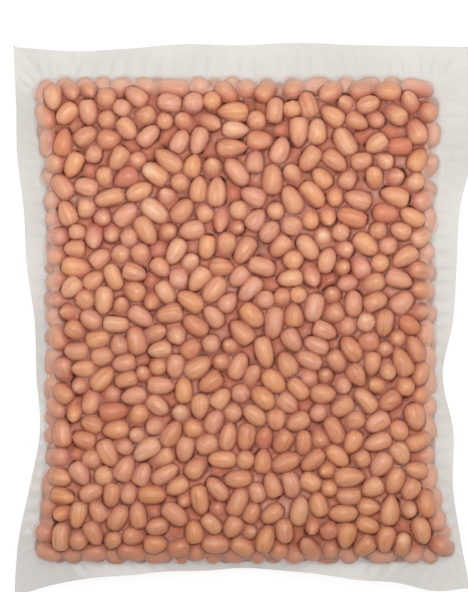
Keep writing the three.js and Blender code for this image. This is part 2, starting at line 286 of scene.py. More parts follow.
@dataclass(frozen=True)
class KernelPour:
    """How kernels of the real size are poured into the bag and then pushed apart until they are packed."""

    count: int = 1470
    width: float = 9.2
    width_spread: float = 0.9
    ratio: float = 1.48
    ratio_spread: float = 0.26
    least_ratio: float = 1.14
    seed: int = 1900
    steps: int = 600
    grow_steps: int = 330
    first_size: float = 0.6
    wall_room: float = 3.5
    list_every: int = 10
    list_margin: float = 1.5
    ease: float = 0.35
    turn_radius: float = 0.4
    turn_core: float = 0.5
    turn_least: float = 0.5
    least_square: float = 0.05
    touch_depth: float = 1.6
    loose_depth: float = 14.0
    rise: float = 0.35
    rise_steps: int = 120
    rest_steps: int = 30

    def packed(self, block: KernelBlock) -> Kernels:
        """Pours and packs the kernels.

        Args:
            block: The slab that the film holds them in.

        Returns:
            All kernels of the bag, at rest.
        """
        draws = Draws(self.seed)
        rows = np.array([self._poured(block, draws) for _ in range(self.count)]).T
        kernels = Kernels(rows[0:3].copy(), rows[3:6].copy(), rows[6].copy(), rows[7].copy())
        every_pair = np.triu_indices(self.count, 1)
        near = every_pair
        for step in range(self.steps):
            grown = min(1.0, self.first_size + ((1 - self.first_size) * step) / self.grow_steps)
            if step % self.list_every == 0:
                near = self._neighbours(kernels, every_pair)
            push = self._pair_push(kernels, near, grown) - self._film_push(kernels, block, grown)
            self._settle(kernels, push)
        self._let_rise(kernels, block, every_pair)
        return kernels

    def _let_rise(self, kernels: Kernels, block: KernelBlock, pairs: Pairs) -> None:
        """Lets loose kernels rise into the hollows between those that touch the film, which stay put.

        Args:
            kernels: All kernels, which are moved.
            block: The slab that they are in.
            pairs: The numbers of every two kernels.
        """
        held = kernels.gap_to_film(block) < self.touch_depth
        near = pairs
        for step in range(self.rise_steps + self.rest_steps):
            if step % self.list_every == 0:
                near = self._neighbours(kernels, pairs)
            depth, out = block.film_from(kernels.middle)
            push = self._pair_push(kernels, near, 1.0) - self._film_push(kernels, block, 1.0)
            if step < self.rise_steps:
                push[:3] += out * self.rise * (depth < self.loose_depth)
            push[:, held] = 0
            self._settle(kernels, push)

    def _poured(self, block: KernelBlock, draws: Draws) -> tuple[float, ...]:
        """Draws one kernel's size, direction and place inside the film.

        Args:
            block: The slab to pour into.
            draws: The source of random numbers.

        Returns:
            Its middle, axis, radius and half core, as eight numbers.
        """
        width = self.width + self.width_spread * draws.bell()
        ratio = max(self.least_ratio, self.ratio + self.ratio_spread * draws.bell())
        radius = width / 2
        while True:
            axis = np.array([2 * draws.share() - 1 for _ in range(3)])
            square = dot(axis, axis)
            if self.least_square <= square <= 1:
                break
        widest = block.left_half + block.bottom_right.pull
        while True:
            x = (2 * draws.share() - 1) * widest
            y = (2 * draws.share() - 1) * block.half_length
            z = draws.share() * (block.height + block.depth) - block.depth
            depth, _ = block.film_from(np.array([x, y, z]))
            if depth >= self.wall_room:
                break
        return (x, y, z, *(axis / np.sqrt(square)), radius, radius * (ratio - 1))

    def _neighbours(self, kernels: Kernels, pairs: Pairs) -> Pairs:
        """The pairs of kernels that may touch before the next list is made.

        Args:
            kernels: All kernels.
            pairs: The pairs to choose from.

        Returns:
            The chosen pairs.
        """
        first, second = pairs
        apart = kernels.middle[:, first] - kernels.middle[:, second]
        longest = kernels.radius + kernels.core
        reach = longest[first] + longest[second] + self.list_margin
        close = dot(apart, apart) < reach * reach
        return first[close], second[close]

    def _pair_push(self, kernels: Kernels, near: Pairs, grown: float) -> np.ndarray:
        """Pushes overlapping kernels apart, and turns them, where their cores come closest.

        Args:
            kernels: All kernels.
            near: Pairs that may touch.
            grown: The kernels' size now, as a share of their full size.

        Returns:
            Six rows: the sum of the pushes on each kernel, and of their turning effect.
        """
        first, second = near
        p = kernels.axis[:, first] * kernels.core[first] * grown
        q = kernels.axis[:, second] * kernels.core[second] * grown
        w = kernels.middle[:, first] - kernels.middle[:, second]
        pp, pq, qq = dot(p, p) + TINY, dot(p, q), dot(q, q) + TINY
        pw, qw = dot(p, w), dot(q, w)
        guess = np.clip((pq * qw - qq * pw) / (pp * qq - pq * pq + CLOSE), -1, 1)
        t = np.clip((pq * guess + qw) / qq, -1, 1)
        s = np.clip((pq * t - pw) / pp, -1, 1)
        g = w + s * p - t * q
        gap = np.sqrt(dot(g, g)) + TINY
        overlap = (kernels.radius[first] + kernels.radius[second]) * grown - gap
        hit = overlap > 0
        push = g[:, hit] * ((overlap[hit] * 0.5) / gap[hit])
        forward = self._summed(first[hit], push, s[hit] * kernels.core[first[hit]], len(kernels))
        backward = self._summed(second[hit], push, t[hit] * kernels.core[second[hit]], len(kernels))
        return forward - backward

    @staticmethod
    def _summed(on: np.ndarray, push: np.ndarray, arm: np.ndarray, count: int) -> np.ndarray:
        """Adds up pushes and their turning effect, by the number of the kernel that each is on."""
        return np.array([np.bincount(on, part, count) for part in (*push, *(push * arm))])

    @staticmethod
    def _film_push(kernels: Kernels, block: KernelBlock, grown: float) -> np.ndarray:
        """How the film pushes both ends of each kernel back in, as six rows like those of _pair_push.

        Args:
            kernels: All kernels.
            block: The slab that they are in.
            grown: Their size now, as a share of their full size.

        Returns:
            The sum of the inward pushes on each kernel, and of their turning effect.
        """
        push = np.zeros((6, len(kernels)))
        for end in (-1, 1):
            depth, out = block.film_from(kernels.middle + kernels.axis * (end * kernels.core * grown))
            inward = out * np.maximum(0, kernels.radius * grown - depth)
            push += np.vstack([inward, inward * (end * kernels.core)])
        return push

    def _settle(self, kernels: Kernels, push: np.ndarray) -> None:
        """Moves and turns each kernel by its share of all the pushes on it.

        Args:
            kernels: All kernels, which are moved.
            push: Six rows of pushes and their turning effect.
        """
        square_radius = kernels.radius * kernels.radius * self.turn_radius
        square_core = kernels.core * kernels.core * self.turn_core
        spin = self.ease / (square_radius + square_core + self.turn_least)
        kernels.middle += push[:3] * self.ease
        turned = kernels.axis + push[3:] * spin
        kernels.axis = turned / np.sqrt(dot(turned, turned))


# ---- Trees of nodes ----


@dataclass(frozen=True)
class Wash:
    """A colour that is laid over another, and how much of it shows at most."""

    colour: Colour
    share: float


class Recipe:
    """Adds nodes to a tree and links them, so that a tree reads as a list of steps."""

    def __init__(self, tree: bpy.types.NodeTree) -> None:
        """Works on this tree."""
        self.tree = tree

    def add(self, kind: str, inputs: Inputs | None = None, **settings: object) -> bpy.types.Node:
        """Adds a node, and sets or links its inputs.

        Args:
            kind: Blender's name for the type of node.
            inputs: A value or another node's output for each named or numbered input.
            **settings: Properties of the node.

        Returns:
            The new node.
        """
        made = self.tree.nodes.new(kind)
        for name, value in settings.items():
            setattr(made, name, value)
        self.fill(made, inputs or {})
        return made

    def fill(self, node: bpy.types.Node, inputs: Inputs) -> None:
        """Sets or links a node's inputs.

        Args:
            node: The node.
            inputs: A value or another node's output for each named or numbered input.
        """
        for key, value in inputs.items():
            if isinstance(value, Socket):
                self.tree.links.new(value, node.inputs[key])
            else:
                node.inputs[key].default_value = value

    def maths(self, operation: str, *values: object) -> Socket:
        """Works out one number from one, two or three."""
        return self.add("ShaderNodeMath", dict(enumerate(values)), operation=operation).outputs[0]

    def vector(self, operation: str, *values: object) -> Socket:
        """Works out one vector from one or two."""
        return self.add("ShaderNodeVectorMath", dict(enumerate(values)), operation=operation).outputs[0]

    def attribute(self, name: str, output: str = "Fac") -> Socket:
        """Reads an attribute of the piece in a material."""
        return self.add("ShaderNodeAttribute", attribute_name=name).outputs[output]

    def object_place(self) -> Socket:
        """Reads Object coordinates in a material."""
        return self.add("ShaderNodeTexCoord").outputs["Object"]

    def parts(self, vector: Socket) -> Sequence[Socket]:
        """Takes a vector apart into x, y and z."""
        return self.add("ShaderNodeSeparateXYZ", {0: vector}).outputs

    def bump(self, height: Socket, strength: float, distance: float) -> Socket:
        """Turns a height into a normal. The distance is in millimetres."""
        inputs = {"Height": height, "Strength": strength, "Distance": distance * MM}
        return self.add("ShaderNodeBump", inputs).outputs[0]

    def noise(self, vector: Socket, scale: object, detail: float = 3.0) -> Socket:
        """Cloudy noise from 0 to 1, mostly near 0.5."""
        inputs = {"Vector": vector, "Scale": scale, "Detail": detail}
        return self.add("ShaderNodeTexNoise", inputs).outputs[0]

    def spread(self, value: Socket, over: Range = (0.0, 1.0), to: Range = (0.0, 1.0)) -> Socket:
        """Eases a value from the range over into the range to, and keeps it there."""
        inputs = {"Value": value, "From Min": over[0], "From Max": over[1], "To Min": to[0], "To Max": to[1]}
        return self.add("ShaderNodeMapRange", inputs, interpolation_type="SMOOTHSTEP").outputs[0]

    def mixed(self, share: object, first: object, second: object, blend: str = "MIX") -> Socket:
        """Mixes this share of a second colour into the first, in Blender's named way."""
        inputs = {0: share, 6: opaque(first), 7: opaque(second)}
        return self.add("ShaderNodeMix", inputs, data_type="RGBA", blend_type=blend).outputs[2]

    def washed(self, colour: Socket, mask: Socket, wash: Wash) -> Socket:
        """Lays a wash over a colour where the mask says."""
        return self.mixed(self.maths("MULTIPLY", mask, wash.share), colour, wash.colour)

    def ramp(self, value: Socket, colours: Sequence[Colour]) -> Socket:
        """Turns a value from 0 to 1 into a colour by way of evenly spaced ones.

        Args:
            value: The value.
            colours: The colours, from 0 to 1.

        Returns:
            The colour.
        """
        made = self.add("ShaderNodeValToRGB", {0: value})
        elements = made.color_ramp.elements
        while len(elements) < len(colours):
            elements.new(0.5)
        for number, (element, colour) in enumerate(zip(elements, colours)):
            element.position = number / (len(colours) - 1)
            element.color = opaque(colour)
        return made.outputs[0]


def opaque(colour: object) -> object:
    """Adds full opacity to a colour of three numbers, and leaves an output as it is."""
    return (*colour, 1.0) if isinstance(colour, tuple) else colour


def linear(red: int, green: int, blue: int) -> Colour:
    """Turns a screen colour, 0 to 255, into the linear values that shaders take."""
    shares = (value / 255 for value in (red, green, blue))
    return tuple(s / 12.92 if s <= 0.04045 else ((s + 0.055) / 1.055) ** 2.4 for s in shares)


def cloud_group() -> bpy.types.NodeTree:
    """The patchy look that skins, flesh and film share: soft clouds with finer ones in them.

    Returns:
        A shader node group with inputs Vector, Scale, Low and High, and output Mask.
    """
    name = "Soft Clouds"
    if name in bpy.data.node_groups:
        return bpy.data.node_groups[name]
    group = bpy.data.node_groups.new(name, "ShaderNodeTree")
    group.interface.new_socket("Vector", in_out="INPUT", socket_type="NodeSocketVector")
    for socket in ("Scale", "Low", "High"):
        group.interface.new_socket(socket, in_out="INPUT", socket_type="NodeSocketFloat")
    group.interface.new_socket("Mask", in_out="OUTPUT", socket_type="NodeSocketFloat")
    recipe = Recipe(group)
    given = recipe.add("NodeGroupInput").outputs
    noise = recipe.noise(given["Vector"], given["Scale"])
    recipe.add("NodeGroupOutput", {"Mask": recipe.spread(noise, (given["Low"], given["High"]))})
    return group


def clouds(recipe: Recipe, vector: Socket, scale: float, over: Range = (0.3, 0.7)) -> Socket:
    """Places the group of soft clouds in a material and gives its mask.

    Args:
        recipe: The material's recipe.
        vector: The coordinates that the clouds lie in.
        scale: How fine they are.
        over: The values of the noise between which the mask goes from 0 to 1.

    Returns:
        The mask.
    """
    made = recipe.add("ShaderNodeGroup", node_tree=cloud_group())
    recipe.fill(made, {"Vector": vector, "Scale": scale, "Low": over[0], "High": over[1]})
    return made.outputs["Mask"]


def new_material(name: str) -> tuple[Material, Recipe, bpy.types.Node]:
    """Starts a material.

    Args:
        name: Its name.

    Returns:
        The material, a recipe for its tree and its one shader.
    """
    material = bpy.data.materials.new(name)
    material.use_nodes = True
    shader = material.node_tree.nodes["Principled BSDF"]
    return material, Recipe(material.node_tree), shader


# ---- Finishes ----


@dataclass(frozen=True)
class SkinFinish:
    """The papery seed skin: pinkish tan, cloudy, with fine lengthwise veins and a few redder kernels.

    The golden clouds are strongest on the crowns, as a painted highlight, and the flanks have a darker,
    redder painted shade. Deeper under the film the skin is painted darker and redder, as painted shade and
    the light that has gone from skin to skin. The kernels in the lower half of the bag are painted a shade
    darker, and those at its foot another: painted shade for light that falls off towards the bottom. Where
    rubbed is over 0, the skin is gone from that share of one end, and the pale flesh shows. Depths under the
    film are in steps of 10 mm.
    """

    name: str = "peanut_skin"
    rubbed: float = 0.0
    dusky: Wash = Wash(linear(188, 120, 91), 0.4)
    tan: Colour = linear(199, 143, 111)
    rosy: Colour = linear(204, 147, 131)
    amber: Colour = linear(209, 145, 97)
    amber_clouds: Range = (0.3, 0.6)
    # Painted highlight: the golden clouds show most on the crowns (first share) and little on the flanks.
    amber_shares: Range = (0.45, 0.1)
    amber_shift: Triple = (3.0, 9.0, 1.0)
    sandy: Wash = Wash(linear(213, 170, 141), 0.35)
    sandy_clouds: Range = (0.45, 0.75)
    sandy_shift: Triple = (7.0, 3.0, 5.0)
    sandy_fineness: float = 1.7
    vein: Wash = Wash(linear(140, 72, 50), 0.28)
    vein_lines: Range = (0.52, 0.66)
    vein_stretch: Triple = (0.45, 4.5, 4.5)
    brick: Wash = Wash(linear(178, 80, 58), 0.55)
    brick_kernels: Range = (0.94, 1.0)
    scar: Wash = Wash(linear(222, 178, 146), 0.4)
    scar_reach: Range = (0.9, 1.0)
    flesh: Wash = Wash(linear(216, 186, 150), 0.75)
    flesh_reach: Range = (1.5, 2.2)
    flesh_lean: float = 0.6
    flesh_rags: float = 0.4
    flesh_step: float = 1.6
    # Painted shade: the flanks, deeper under the film, are washed darker and redder.
    flank_shade: Wash = Wash(linear(192, 125, 108), 0.55)
    flank_depths: Range = (0.06, 0.3)
    # Painted shade and skin-to-skin light: deeper skin is multiplied darker and redder.
    sunken: Colour = (0.94, 0.74, 0.67)
    sunken_depths: Range = (0.08, 0.6)
    # Painted shade: kernels darker towards the bottom of the bag, for light that falls off there.
    foot: Colour = (0.77, 0.69, 0.6)
    foot_reach: Range = (-0.07, -0.115)
    foot_share: float = 0.55
    lower_reach: Range = (0.05, -0.03)
    lower_share: float = 0.45
    cloud_scale: float = 1.1
    vein_scale: float = 1.0
    roughness: Range = (0.45, 0.62)
    shine: float = 0.3
    gloss: float = 0.32
    gloss_roughness: float = 0.25
    relief: float = 0.2
    relief_height: float = 0.4
    cloud_relief: float = 0.5

    def material(self) -> Material:
        """Makes the material of the skins, from the pieces' own attributes."""
        material, recipe, shader = new_material(self.name)
        local = recipe.attribute("local", "Vector")
        shift = recipe.attribute("shift", "Vector")
        depth = recipe.attribute("depth")
        along, _, up = recipe.parts(local)
        place = recipe.vector("ADD", local, shift)
        cloud = clouds(recipe, place, self.cloud_scale)
        drawn = recipe.vector("ADD", recipe.vector("MULTIPLY", local, self.vein_stretch), shift)
        veins = recipe.noise(drawn, self.vein_scale)
        colour = self._cloudy(recipe, place, cloud, depth)
        colour = recipe.washed(colour, recipe.spread(veins, self.vein_lines), self.vein)
        redder = recipe.spread(recipe.attribute("blush"), self.brick_kernels)
        colour = recipe.washed(colour, redder, self.brick)
        colour = recipe.washed(colour, recipe.spread(along, self.scar_reach), self.scar)
        if self.rubbed:
            reach = recipe.maths("MULTIPLY_ADD", along, self.flesh_lean, up)
            reach = recipe.maths("MULTIPLY_ADD", cloud, self.flesh_rags, reach)
            low, high = (far - self.flesh_step * self.rubbed for far in self.flesh_reach)
            colour = recipe.washed(colour, recipe.spread(reach, (low, high)), self.flesh)
        # Painted shade on the flanks: darker and redder between the flank depths.
        colour = recipe.washed(colour, recipe.spread(depth, self.flank_depths), self.flank_shade)
        # Painted shade and skin-to-skin light: the deeper the skin, the darker and redder it is made.
        sunk = recipe.spread(depth, self.sunken_depths)
        colour = recipe.mixed(sunk, colour, self.sunken, "MULTIPLY")
        # Painted shade: a multiply that darkens the kernels in the lower half of the bag, and more at its
        # foot.
        _, up_bag, _ = recipe.parts(recipe.object_place())
        shade = recipe.spread(up_bag, self.foot_reach, (0.0, self.foot_share))
        lower = recipe.spread(up_bag, self.lower_reach, (0.0, self.lower_share))
        colour = recipe.mixed(recipe.maths("ADD", shade, lower), colour, self.foot, "MULTIPLY")

        rough = recipe.maths("MAXIMUM", recipe.spread(cloud, to=self.roughness), sunk)
        height = recipe.maths("ADD", veins, recipe.maths("MULTIPLY", cloud, self.cloud_relief))
        inputs = {
            "Base Color": colour,
            "Roughness": rough,
            "Specular IOR Level": self.shine,
            "Coat Weight": recipe.spread(sunk, to=(self.gloss, 0.0)),
            "Coat Roughness": self.gloss_roughness,
            "Normal": recipe.bump(height, self.relief, self.relief_height),
        }
        recipe.fill(shader, inputs)
        return material

    def _cloudy(self, recipe: Recipe, place: Socket, cloud: Socket, depth: Socket) -> Socket:
        """The kernel's own tone with darker, golden and paler clouds on it.

        Args:
            recipe: The material's recipe.
            place: Coordinates on the kernel, shifted for each.
            cloud: The mask of the darker clouds.
            depth: How deep the place lies under the film.

        Returns:
            The colour.
        """
        tones = (self.dusky.colour, self.tan, self.rosy, self.amber, self.sandy.colour)
        colour = recipe.ramp(recipe.attribute("tone"), tones)
        colour = recipe.washed(colour, cloud, self.dusky)
        moved = recipe.vector("ADD", place, self.amber_shift)
        golden = clouds(recipe, moved, self.cloud_scale, self.amber_clouds)
        # Painted highlight: golden clouds strongest on the crowns, where the skin lies nearest the film.
        crown = recipe.spread(depth, self.flank_depths, self.amber_shares)
        colour = recipe.mixed(recipe.maths("MULTIPLY", golden, crown), colour, self.amber)
        moved = recipe.vector("ADD", place, self.sandy_shift)
        pale = clouds(recipe, moved, self.cloud_scale * self.sandy_fineness, self.sandy_clouds)
        return recipe.washed(colour, pale, self.sandy)


@dataclass(frozen=True)
class FilmFinish:
    """Clear, slightly milky film. It is haziest where two sheets are sealed, and warm over the gaps.

    Colours go with where the film lies: clear on the kernels; over a gap milky in patches and elsewhere
    warm, a painted bounce light from the skins beneath that lifts the shade in the gap; round the block's
    rim pale, a painted sheen for the film's reflection at a slant, but ruddy at its foot; and grey where it
    is sealed.
    The ruddy rim and a greyer seal towards the foot are painted shade.
    """

    clear: Colour = linear(206, 146, 120)
    # Painted sheen round the block's rim, for the film's reflection at a slant, partly real haze.
    pale: Colour = linear(232, 192, 170)
    ruddy: Colour = linear(204, 142, 114)
    # Painted bounce light: the warm glow of the skins beneath, laid over the gaps.
    warm: Colour = linear(182, 112, 88)
    milky: Colour = linear(190, 138, 122)
    sealed: Colour = linear(186, 182, 174)
    # Painted shade: the sealed film is greyer towards the bag's foot.
    sealed_shade: Colour = linear(178, 171, 165)
    shade_middle: Triple = (-0.03, -0.13, 0.0)
    shade_reach: float = 0.2
    gap_edge: Range = (0.0, 0.2)
    rim_edge: Range = (0.0, 0.45)
    haze: float = 0.012
    gap_haze_and_bounce: Range = (0.46, 0.56)
    rim_haze_and_sheen: float = 0.46
    sealed_haze: float = 0.38
    cloud_haze: float = 0.03
    cloud_scale: float = 28.0
    patch_scale: float = 60.0
    patches: Range = (0.5, 0.7)
    roughness: Range = (0.22, 0.36)
    shine: float = 0.35
    refraction: float = 1.5
    relief: float = 0.35
    relief_height: float = 0.5
    crease_scale: float = 220.0

    def material(self) -> Material:
        """Makes the material of both sheets, from their attributes gap, rim and sealed."""
        material, recipe, shader = new_material("clear_film")
        place = recipe.object_place()
        gap = recipe.attribute("gap")
        sealed = recipe.attribute("sealed")
        rim = recipe.spread(recipe.attribute("rim"), self.rim_edge)
        cloud = clouds(recipe, place, self.cloud_scale)
        patch = clouds(recipe, place, self.patch_scale, self.patches)
        # Over a gap: milky film in patches, elsewhere a warm painted bounce light that lifts the shade in
        # the gap.
        over_gap = recipe.mixed(patch, self.warm, self.milky)
        colour = recipe.mixed(recipe.spread(gap, self.gap_edge), self.clear, over_gap)
        # Painted shade: the film's colours darken towards a point near the bag's foot.
        away = recipe.add("ShaderNodeVectorMath", {0: place, 1: self.shade_middle}, operation="DISTANCE")
        out_of_shade = recipe.spread(away.outputs["Value"], (0.0, self.shade_reach))
        # Round the rim: pale as a painted sheen, ruddy towards the bag's foot as painted shade.
        colour = recipe.mixed(rim, colour, recipe.mixed(out_of_shade, self.ruddy, self.pale))
        colour = recipe.mixed(sealed, colour, recipe.mixed(out_of_shade, self.sealed_shade, self.sealed))
        # The haze over the gaps is partly real milky film and partly the painted bounce light.
        alpha = recipe.maths("MULTIPLY_ADD", gap, recipe.spread(patch, to=self.gap_haze_and_bounce), self.haze)
        alpha = recipe.maths("MULTIPLY_ADD", rim, self.rim_haze_and_sheen, alpha)
        alpha = recipe.maths("MAXIMUM", alpha, recipe.maths("MULTIPLY", sealed, self.sealed_haze))
        creases = recipe.noise(place, self.crease_scale)
        inputs = {
            "Base Color": colour,
            "Alpha": recipe.maths("MULTIPLY_ADD", cloud, self.cloud_haze, alpha),
            "Roughness": recipe.spread(cloud, to=self.roughness),
            "Normal": recipe.bump(creases, self.relief, self.relief_height),
            "IOR": self.refraction,
            "Specular IOR Level": self.shine,
        }
        recipe.fill(shader, inputs)
        return material


@dataclass(frozen=True)
class FloorFinish:
    """A plain white sweep that glows round the bag, but not in the dark under it."""

    white: Colour = (0.15, 0.15, 0.15)
    worn: Colour = (0.1455, 0.1455, 0.1455)
    wear_scale: float = 3.0
    roughness: float = 0.9
    glow: float = 0.85
    # Painted shadow: no glow under the bag, fading in at its edges.
    hidden_half: tuple[float, float] = (0.0965, 0.1195)
    fade: Range = (0.87, 1.0)

    def material(self) -> Material:
        """Makes the floor's material."""
        material, recipe, shader = new_material("studio_floor")
        place = recipe.object_place()
        shares = recipe.vector("DIVIDE", recipe.vector("ABSOLUTE", place), (*self.hidden_half, 1.0))
        across, along, _ = recipe.parts(shares)
        # Painted shadow: the glow fades out under the bag, leaving it dark there.
        lit = recipe.spread(recipe.maths("MAXIMUM", across, along), self.fade)
        inputs = {
            "Base Color": recipe.mixed(clouds(recipe, place, self.wear_scale), self.white, self.worn),
            "Roughness": self.roughness,
            "Emission Color": recipe.mixed(lit, (0.0, 0.0, 0.0), (1.0, 1.0, 1.0)),
            "Emission Strength": self.glow,
        }
        recipe.fill(shader, inputs)
        return material


# ---- Kernels ----


class Form(Enum):
    """The shapes that shelled peanuts come in."""

    PLUMP = "plump"
    TAPERED = "tapered"
    DROP = "drop"
    SLANTED = "slanted"
    WEDGE = "wedge"
    BENT = "bent"
    ROUND = "round"
    PRESSED = "pressed"
    BARREL = "barrel"


@dataclass(frozen=True)
class FormSizes:
    """What sets one form of kernel apart. Lengths are shares of its half length or radius.

    The near end is blunt and the far end runs out to the tip. A cheek is a side that grew flat against the
    shell or the other kernel.
    """

    blunt: float = 2.6
    point: float = 2.1
    taper: float = 0.08
    bend: float = 0.0
    slant: float = 0.0
    cheek: float = 0.08
    squareness: float = 2.2
    lumps: float = 0.03
    nib: float = 0.04


FORM_SIZES = {
    Form.PLUMP: FormSizes(),
    Form.TAPERED: FormSizes(point=2.0, taper=0.13, nib=0.05),
    Form.DROP: FormSizes(blunt=2.4, point=1.9, taper=0.18, cheek=0.04),
    Form.SLANTED: FormSizes(blunt=2.9, point=2.2, slant=0.4, cheek=0.12),
    Form.WEDGE: FormSizes(blunt=2.8, point=2.0, taper=0.14, slant=0.25, cheek=0.2, squareness=2.4),
    Form.BENT: FormSizes(bend=0.1, taper=0.1, cheek=0.14),
    Form.ROUND: FormSizes(blunt=2.2, point=2.1, taper=0.04, cheek=0.1),
    Form.PRESSED: FormSizes(blunt=2.7, point=2.4, cheek=0.26, lumps=0.05, squareness=2.4),
    Form.BARREL: FormSizes(blunt=2.8, point=2.5, taper=0.03, squareness=2.3, cheek=0.16),
}


@dataclass(frozen=True)
class KernelForm:
    """A kernel of half length 1 along X and radius 1, as rings of vertices between two poles.

    Each wave of its lumps has a height, a count round the kernel, a twist along it and a turn that goes with
    the form's bluntness.
    """

    form: Form
    segments: int = 12
    bands: int = 8
    cheek_give: float = 0.4
    cut_place: float = -0.82
    cut_give: float = 0.6
    waves: tuple[tuple[float, ...], ...] = ((1.0, 2.0, 3.1, 9.0), (0.5, 3.0, -2.0, 0.0))

    def mesh(self) -> Mesh:
        """Builds the form, with its own lengthwise coordinates in the attribute local."""
        sizes = FORM_SIZES[self.form]
        turns = np.arange(self.segments) * (2 * math.pi / self.segments)
        rings = -np.cos(math.pi * np.arange(1, self.bands) / self.bands)
        along = np.repeat(rings, self.segments)
        turn = np.tile(turns, self.bands - 1)
        poles = np.array([[-1.0, 0.0, 0.0], [1.0, 0.0, 0.0]])
        local = np.vstack([np.stack([along, np.cos(turn), np.sin(turn)], axis=1), poles])
        radius = self._radius(sizes, along, turn)
        points = np.stack([along, np.cos(turn) * radius, np.sin(turn) * radius], axis=1)
        tips = poles + [[0.0, 0.0, 0.0], [sizes.nib, 0.0, 0.0]]
        points = self._shaped(sizes, np.vstack([points, tips]))
        mesh = new_mesh(f"kernel_{self.form.value}", points, self._faces())
        keep_attribute(mesh, "local", "FLOAT_VECTOR", local)
        return mesh

    def _radius(self, sizes: FormSizes, along: np.ndarray, turn: np.ndarray) -> np.ndarray:
        """How far the surface lies from the kernel's own axis.

        Args:
            sizes: The form's sizes.
            along: Places along the axis, from -1 to 1.
            turn: Angles round it.

        Returns:
            The distance at each place.
        """
        power = np.where(along < 0, sizes.blunt, sizes.point)
        profile = (1 - np.abs(along) ** power) ** (1 / power) * (1 - sizes.taper * along)
        corner = np.abs(np.cos(turn)) ** sizes.squareness + np.abs(np.sin(turn)) ** sizes.squareness
        lumps = sum(
            height * np.sin(count * turn + twist * along + own * sizes.blunt)
            for height, count, twist, own in self.waves
        )
        return profile * corner ** (-1 / sizes.squareness) * (1 + sizes.lumps * lumps)

    def _shaped(self, sizes: FormSizes, points: np.ndarray) -> np.ndarray:
        """Flattens the cheek, bends the kernel and presses its near end back at a slant.

        Args:
            sizes: The form's sizes.
            points: Places on the kernel, a row for each.

        Returns:
            The new places.
        """
        x, y, z = points.T.copy()
        flat = 1 - sizes.cheek
        y = np.where(y > flat, flat + self.cheek_give * (y - flat), y)
        z = z + sizes.bend * (0.5 - x * x)
        plane = self.cut_place - sizes.slant * z * 0.5
        x = np.where((sizes.slant > 0) & (x < plane), plane + self.cut_give * (x - plane), x)
        return np.stack([x, y, z], axis=1)

    def _faces(self) -> list[tuple[int, ...]]:
        """Quads between the rings, and a fan of triangles at each pole."""
        count = self.segments
        rings = self.bands - 1
        near_pole, far_pole = rings * count, rings * count + 1
        faces: list[tuple[int, ...]] = []
        for k in range(count):
            after = (k + 1) % count
            faces.append((near_pole, after, k))
            faces.append((far_pole, (rings - 1) * count + k, (rings - 1) * count + after))
            for ring in range(rings - 1):
                low, high = ring * count, (ring + 1) * count
                faces.append((low + k, low + after, high + after, high + k))
        return faces


